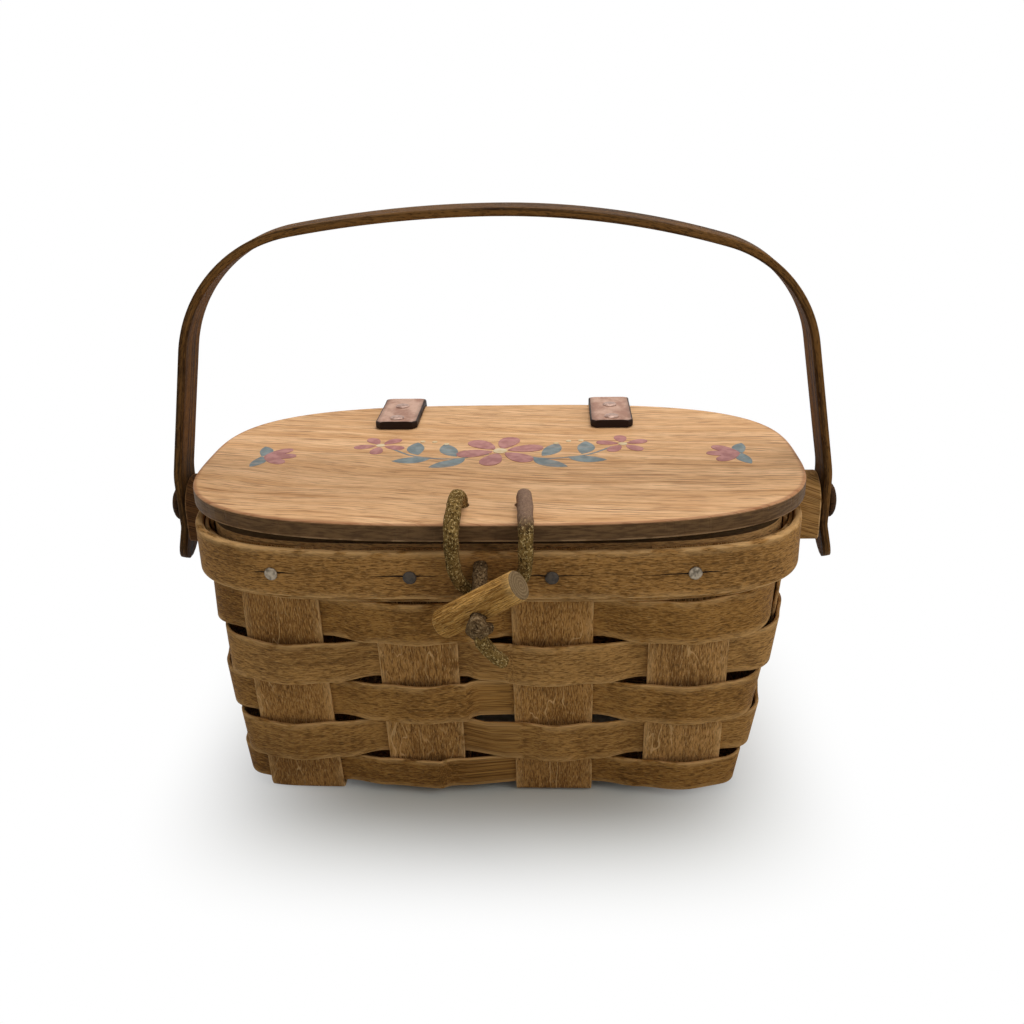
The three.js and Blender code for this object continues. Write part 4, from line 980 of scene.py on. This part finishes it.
def make_ear(side, name):
    radius, drop, corner, edge = 10.5, 11.5, 2.5, 0.7
    outline = arc((0, 0), radius, np.linspace(0, np.pi, 41))
    outline += arc((corner - radius, corner - drop), corner, np.linspace(np.pi, 1.5 * np.pi, 9))
    outline += arc((radius - corner, corner - drop), corner, np.linspace(1.5 * np.pi, 2 * np.pi, 9))
    outline = resampled(outline + outline[:1], 97)[:-1]
    rounded = quarter_round(edge, 5)
    profile = [(edge + 0.6, 0)] + rounded + [(d, EAR_THICKNESS - x) for d, x in reversed(rounded)]
    profile.append((edge + 0.6, EAR_THICKNESS))
    spread = outline - np.array((0, -0.8))
    away = spread / np.linalg.norm(spread, axis=1)[:, None]
    grid = np.zeros((len(profile), len(outline), 3))
    for k, (depth, x) in enumerate(profile):
        grid[k, :, 0] = side * (EAR_SEAT_X + x)
        grid[k, :, 1:] = outline - away * depth + (0, PIVOT_Z)
    wear = np.ones((len(profile), 1))
    wear[[0, 5, 6, -1]] = 0
    piece = lofted(f"handle_ear_block_{name}", grid, along(profile), along(outline, True), wear)
    for loop, uv in zip(piece.data.loops, piece.data.uv_layers["grain"].data):
        co = piece.data.vertices[loop.vertex_index].co
        uv.uv = (co.y * 0.9 + co.x * 0.2, co.z + co.x * 0.3)
    dress(piece, EAR_WOODS[side], "basket", "rim_wood", f"handle_ear_{name}")


def make_pivot(side, name):
    axis = (side, 0, 0)
    profile = [(0, -24.2), (1.9, -24.2), (2.5, -23.6), (2.5, 0), (5.7, 0), (6.1, 0.25), (6.2, 0.7),
               (6.1, 1.15), (5.6, 1.75), (4.7, 2.3), (3.5, 2.7), (2.0, 2.92), (0, 3.0)]
    rivet = turned(f"handle_pivot_{name}", profile, axis, (side * (ARM_X + 1.9), 0, PIVOT_Z), 44, 45)
    dress(rivet, PIVOT_WOOD, "basket", "pivot_dark", f"handle_rivet_{name}")
    ring = [(2.7, -0.6), (5.2, -0.6), (5.45, -0.45), (5.5, 0), (5.45, 0.45), (5.2, 0.6), (2.7, 0.6)]
    middle = (side * WASHER_X, 0, PIVOT_Z)
    washer = turned(f"handle_washer_ring_{name}", ring, axis, middle, 40, 45)
    drilled(washer, [(middle, axis, 5.4, 4.0)], 45)
    dress(washer, WASHER_STEEL, "basket", "nail_steel", f"handle_washer_{name}")


make_handle()
for side, name in SIDES:
    make_ear(side, name)
    make_pivot(side, name)


# Lid
def make_lid():
    angle, run, total = even_angles(LID, 260)
    edge = 0.9
    rounded = quarter_round(edge, 6)
    profile = [(2.6, LID_TOP), (edge + 0.5, LID_TOP)] + [(d, LID_TOP - drop) for d, drop in rounded]
    profile.append((0, (LID_TOP + LID_BOTTOM) / 2))
    profile += [(d, LID_BOTTOM + drop) for d, drop in reversed(rounded)]
    profile += [(edge + 0.5, LID_BOTTOM), (2.6, LID_BOTTOM)]
    grid = np.zeros((len(profile), len(angle), 3))
    for k, (depth, z) in enumerate(profile):
        x, y = outline_point(LID, angle, -depth)
        grid[k] = np.stack([x, y + LID_Y, np.full_like(x, z)], -1)
    piece = lofted("oak_lid", grid, along(profile), np.append(run, total) * MM)
    middle_z = (LID_TOP + LID_BOTTOM) / 2
    drilled(piece, [((side * LOOP_HOLE_X, LOOP_HOLE_Y, middle_z), (0, 0, 1), 5.8, 30) for side, _ in SIDES])
    dress(piece, LID_WOOD, "lid", "lid_wood", "lid")


make_lid()


# Painted sprigs on the lid
class Brush:
    """Flat strokes of one colour: thin closed plates on the lid's top, each a hair above the one before."""

    def __init__(self, level):
        self.points, self.faces = [], []
        self.level = level

    def plate(self, outline):
        count = len(outline)
        self.faces += skin(2, count, np.zeros(2), np.zeros(count + 1), base=len(self.points))[0]
        for z in (LID_TOP + self.level, LID_TOP - 0.1):
            self.points += [(x, y, z) for x, y in outline]
        self.level += 0.003

    def lobe(self, x, y, rows):
        """A stroke from x, y out: each row is its heading, the distance and how far to the left."""
        outline = []
        for heading, run, left in rows:
            c, s = math.cos(heading), math.sin(heading)
            outline.append((x + c * run - s * left, y + s * run + c * left))
        self.plate(outline)

    def petal(self, x, y, heading, length, width):
        rows = []
        for t in circle(22):
            run = (1 - math.cos(t)) / 2
            rows.append((heading, run * length, width / 2 * math.sin(t) * (0.35 + 0.65 * run ** 0.6)))
        self.lobe(x, y, rows)

    def leaf(self, x, y, heading, length, width, sweep):
        out = np.linspace(0, 1, 12)
        rows = []
        for side, shares in ((1, out), (-1, out[-2:0:-1])):
            for run in shares:
                half = width / 2 * math.sin(run * math.pi) ** 0.8
                rows.append((heading + sweep * run, run * length, side * half))
        self.lobe(x, y, rows)

    def stem(self, points, width):
        edges = np.stack(stood_off(smooth_curve(points, 1.0), (-width / 2, width / 2)), -1)
        self.plate(np.vstack([edges[:, 0], edges[::-1, 1]]).tolist())

    def dot(self, x, y, radius):
        self.plate(arc((x, y), radius, circle(14)))

    def finish(self, name, material):
        flat = np.array(self.points)[:, :2] * MM
        uvs = [flat[k] for face in self.faces for k in face]
        dress(make_mesh(name, self.points, self.faces, uvs), material, "lid", "lid_wood")


def blossom(rose, cream, x, y, size, petals, turn):
    for heading in turn + 2 * math.pi * np.arange(petals) / petals:
        (start_x, start_y), = arc((x, y), 0.22 * size, [heading])
        rose.petal(start_x, start_y, heading, size, size * 0.72)
    cream.dot(x, y, size * 0.2)


def mirrored(heading, side):
    return heading if side > 0 else math.pi - heading


def make_sprigs():
    slate, rose, cream = Brush(0.04), Brush(0.1), Brush(0.18)
    middle = 6.0
    for side, _ in SIDES:
        bends = ((4, -3), (16, -8), (30, -5), (40, 4))
        slate.stem([(side * x, middle + y) for x, y in bends], 0.9)
        blossom(rose, cream, side * 44, middle + 7, 8.0, 5, 0.4 * side)
        leaves = ((12, -8, -0.9, 15), (15, -6, 0.95, 15), (24, -7, -0.5, 14), (29, -4, 1.2, 14))
        for x, y, heading, length in leaves:
            slate.leaf(side * x, middle + y + 0.4, mirrored(heading, side), length, 6.4, 0.25 * side)
        for x, y in ((20, 8), (24.5, 10.5), (29, 11)):
            cream.dot(side * x, middle + y, 1.0)
        for heading in (-0.75, 0, 0.75):
            rose.petal(side * 84, 2, mirrored(heading, -side), 11.5, 6.4)
        for heading in (-1.3, 1.3):
            sweep = math.copysign(0.4, heading) * -side
            slate.leaf(side * 85, 2, mirrored(heading, -side), 11, 5.0, sweep)
    blossom(rose, cream, 0, middle, 13.0, 6, 0.26)
    rose.finish("lid_paint_rose", paint("paint_rose", (178, 116, 108), (152, 92, 86), 1.0))
    slate.finish("lid_paint_slate", paint("paint_slate", (118, 130, 128), (92, 106, 108), 2.0))
    cream.finish("lid_paint_cream", paint("paint_cream", (222, 200, 160), (206, 178, 132), 3.0))


make_sprigs()


# Leather hinge straps and their rivets
RIM_BACK_Y = float(outline_reach(RIM, 33.0, False))


def strap_line():
    """The strap's middle line in (y, z), from its front end on the lid to its foot on the rim's back."""
    lay = LID_TOP + 1.65
    line = [(32.0, lay), (46.0, lay), (58.0, lay)]
    line += arc((LID_BACK_Y - 1.2, LID_TOP - 1.2), 1.2 + 1.85, np.linspace(np.pi / 2, 0, 12))
    line += [(LID_BACK_Y + 1.85, 104.5), (LID_BACK_Y + 1.6, 101.5), (RIM_BACK_Y + 1.95, 98.2)]
    line += [(RIM_BACK_Y + 1.85, 94.0), (RIM_BACK_Y + 1.85, 84.0)]
    even = resampled(line, 140)
    for _ in range(6):
        even[1:-1] = (even[:-2] + 2 * even[1:-1] + even[2:]) / 4
    return even


def make_strap(side, name):
    line = strap_line()
    run = along(line)
    s, o, near, v = splint_section(2 * STRAP_HALF, 3.0, 0.7, 11)
    from_end = np.minimum(run, run[-1] - run) / MM
    cut = np.clip(from_end / STRAP_CUT, 0, 1)
    half = STRAP_HALF - STRAP_CUT * (1 - cut) + ripple(run / run[-1], 0.1, 97 + side)
    swell = 1 - 0.16 * np.exp(-((np.abs(s) - STRAP_HALF) / 1.4) ** 2)
    offset = np.where(o > 0, o * swell, o)
    x = side * STRAP_X + np.outer(half, s / STRAP_HALF)
    y, z = stood_off(line, -offset)
    wear = np.maximum(near ** 2, np.exp(-from_end / 0.25)[:, None])
    piece = lofted(f"leather_strap_{name}", np.stack([x, y, z], -1), run, v, wear)
    dress(piece, STRAP_LEATHER[side], None, "strap_leather", f"hinge_strap_{name}")
    bend_from = tuple(to_frame((side * STRAP_X, 63.5, 98.5)))
    bend_to = tuple(to_frame((side * STRAP_X, 63.5, 104.5)))
    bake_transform(piece)


def make_rivet(name, seat, direction, body, node, shank):
    profile = [(0, -shank), (1.2, -shank), (1.2, 0), (2.5, 0), (2.68, 0.1), (2.7, 0.28), (2.5, 0.5),
               (2.05, 0.68), (1.4, 0.8), (0.7, 0.86), (0, 0.88)]
    piece = turned(f"strap_rivet_{name}", profile, direction, seat, 30, 45)
    dress(piece, RIVET_BRONZE, body, "rivet_bronze", node)


for side, name in SIDES:
    make_strap(side, name)
    for y, end in ((36.5, "front"), (52.0, "back")):
        seat = (side * STRAP_X, y, LID_TOP + 3.1)
        make_rivet(f"lid_{name}_{end}", seat, (0, 0, 1), "lid", f"lid_rivet_{name}_{end}", 8.4)
    for z, level in ((87.5, "low"), (95.5, "high")):
        seat = (side * STRAP_X, RIM_BACK_Y + 3.3, z)
        make_rivet(f"rim_{name}_{level}", seat, (0, 1, 0), "basket", f"rim_rivet_{name}_{level}", 9.5)


# Toggle
def make_toggle():
    half, radius, edge, soft = 15.75, 4.75, 0.75, 1.9
    profile = [(0, -half), (radius - soft - 0.4, -half)]
    profile += [(radius - d, drop - half) for d, drop in quarter_round(soft, 8)]
    profile += [(radius + 0.02, h) for h in np.linspace(-12, 12, 9)]
    profile += [(radius - d, half - drop) for d, drop in reversed(quarter_round(edge, 5))]
    profile += [(radius - edge - 0.5, half), (0, half)]
    wear = [[1.0 if abs(h) > half - edge - 0.1 else 0.0] for _, h in profile]
    piece = turned("wooden_toggle", profile, TOGGLE_AXIS, TOGGLE_CENTRE, 48, 50, wear)
    drilled(piece, [(TOGGLE_CENTRE, TOGGLE_HOLE, 5.2, 40)], 50)
    mesh = piece.data
    mesh.materials.append(TOGGLE_WOOD)
    mesh.materials.append(end_grain("toggle_end_grain"))
    middle = Vector(to_frame(TOGGLE_CENTRE))
    axis, e1, e2 = (Vector(way) for way in square_to(TOGGLE_AXIS, (0, 0, 1)))
    layer = mesh.uv_layers["grain"].data
    for face in mesh.polygons:
        away = face.center - middle
        if abs(face.normal.dot(axis)) > 0.8 and abs(away.dot(axis)) > (half - 0.25) * MM:
            face.material_index = 1
            for k in face.loop_indices:
                spoke = mesh.vertices[mesh.loops[k].vertex_index].co - middle
                layer[k].uv = (spoke.dot(e1) + 0.0008, spoke.dot(e2) - 0.0005)
    dress(piece, TOGGLE_WOOD, "toggle", "toggle_wood", "toggle")


make_toggle()


# Floor, light and world
WHITE = (1, 1, 1, 1)
# The floor's matt colour is darkened so that its grey round the basket adds painted shadow to the real one.
FLOOR_COLOUR = (0.65, 0.66, 0.605, 1)
FLOOR_HALF = 4.0
FLOOR_Z = -0.0002
FADE_FROM = 0.037
FADE_TO = 0.111
WORLD_LIGHT = 0.27


def make_stage():
    """A pale floor that keeps the basket's real shadow near it, grey there as painted shadow, and fades to white
    round it.
    """
    mesh = bpy.data.meshes.new("floor")
    corners = [(x * FLOOR_HALF, y * FLOOR_HALF, FLOOR_Z) for x, y in ((-1, -1), (1, -1), (1, 1), (-1, 1))]
    mesh.from_pydata(corners, [], [(0, 1, 2, 3)])
    floor = add_object("floor", mesh)
    s = Shader("floor_white")
    s.tree.nodes.remove(s.tree.nodes["Principled BSDF"])
    x, y, _ = s.split(s.object_place())
    # The fade's outline, moved towards the front, shapes the painted shadow.
    fourth = []
    for value in (s.times(x, 0.85), s.plus(y, 0.006)):
        square = s.times(value, value)
        fourth.append(s.times(square, square))
    far = s.math("POWER", s.plus(*fourth), 0.25)
    share = s.times(s.step(far, FADE_FROM, FADE_TO), s.seen_rays())
    matt = s.add("ShaderNodeBsdfDiffuse", {"Color": FLOOR_COLOUR})
    glow = s.add("ShaderNodeEmission", {"Color": WHITE})
    mixer = s.add("ShaderNodeMixShader", {0: share, 1: matt, 2: glow})
    s.feed(s.tree.nodes["Material Output"].inputs["Surface"], mixer)
    mesh.materials.append(s.material)


def make_world():
    world = bpy.data.worlds.new("studio")
    world.use_nodes = True
    graph = Graph(world.node_tree)
    level = graph.add("ShaderNodeMapRange", {"Value": graph.seen_rays(), "To Min": WORLD_LIGHT, "To Max": 1.0})
    sky = world.node_tree.nodes["Background"]
    graph.feed(sky.inputs["Color"], WHITE)
    graph.feed(sky.inputs["Strength"], level)
    bpy.context.scene.world = world


def make_lamp(name, place, aim, size, power):
    data = bpy.data.lights.new(name, "AREA")
    data.shape = "DISK"
    data.size = size
    data.energy = power
    lamp = add_object(name, data)
    lamp.location = place
    lamp.rotation_mode = "QUATERNION"
    lamp.rotation_quaternion = (Vector(aim) - Vector(place)).to_track_quat("-Z", "Y")


make_stage()
make_world()
make_lamp("top", (0.12, 0.28, 1.35), (0, 0, 0.08), 0.9, 11.5)
make_lamp("key", (1.0, -0.6, 0.8), (0, 0, 0.08), 0.9, 4.4)
make_lamp("fill", (-0.9, -0.7, 0.6), (0, 0, 0.06), 0.8, 0.6)

bpy.context.scene.view_settings.view_transform = "Standard"
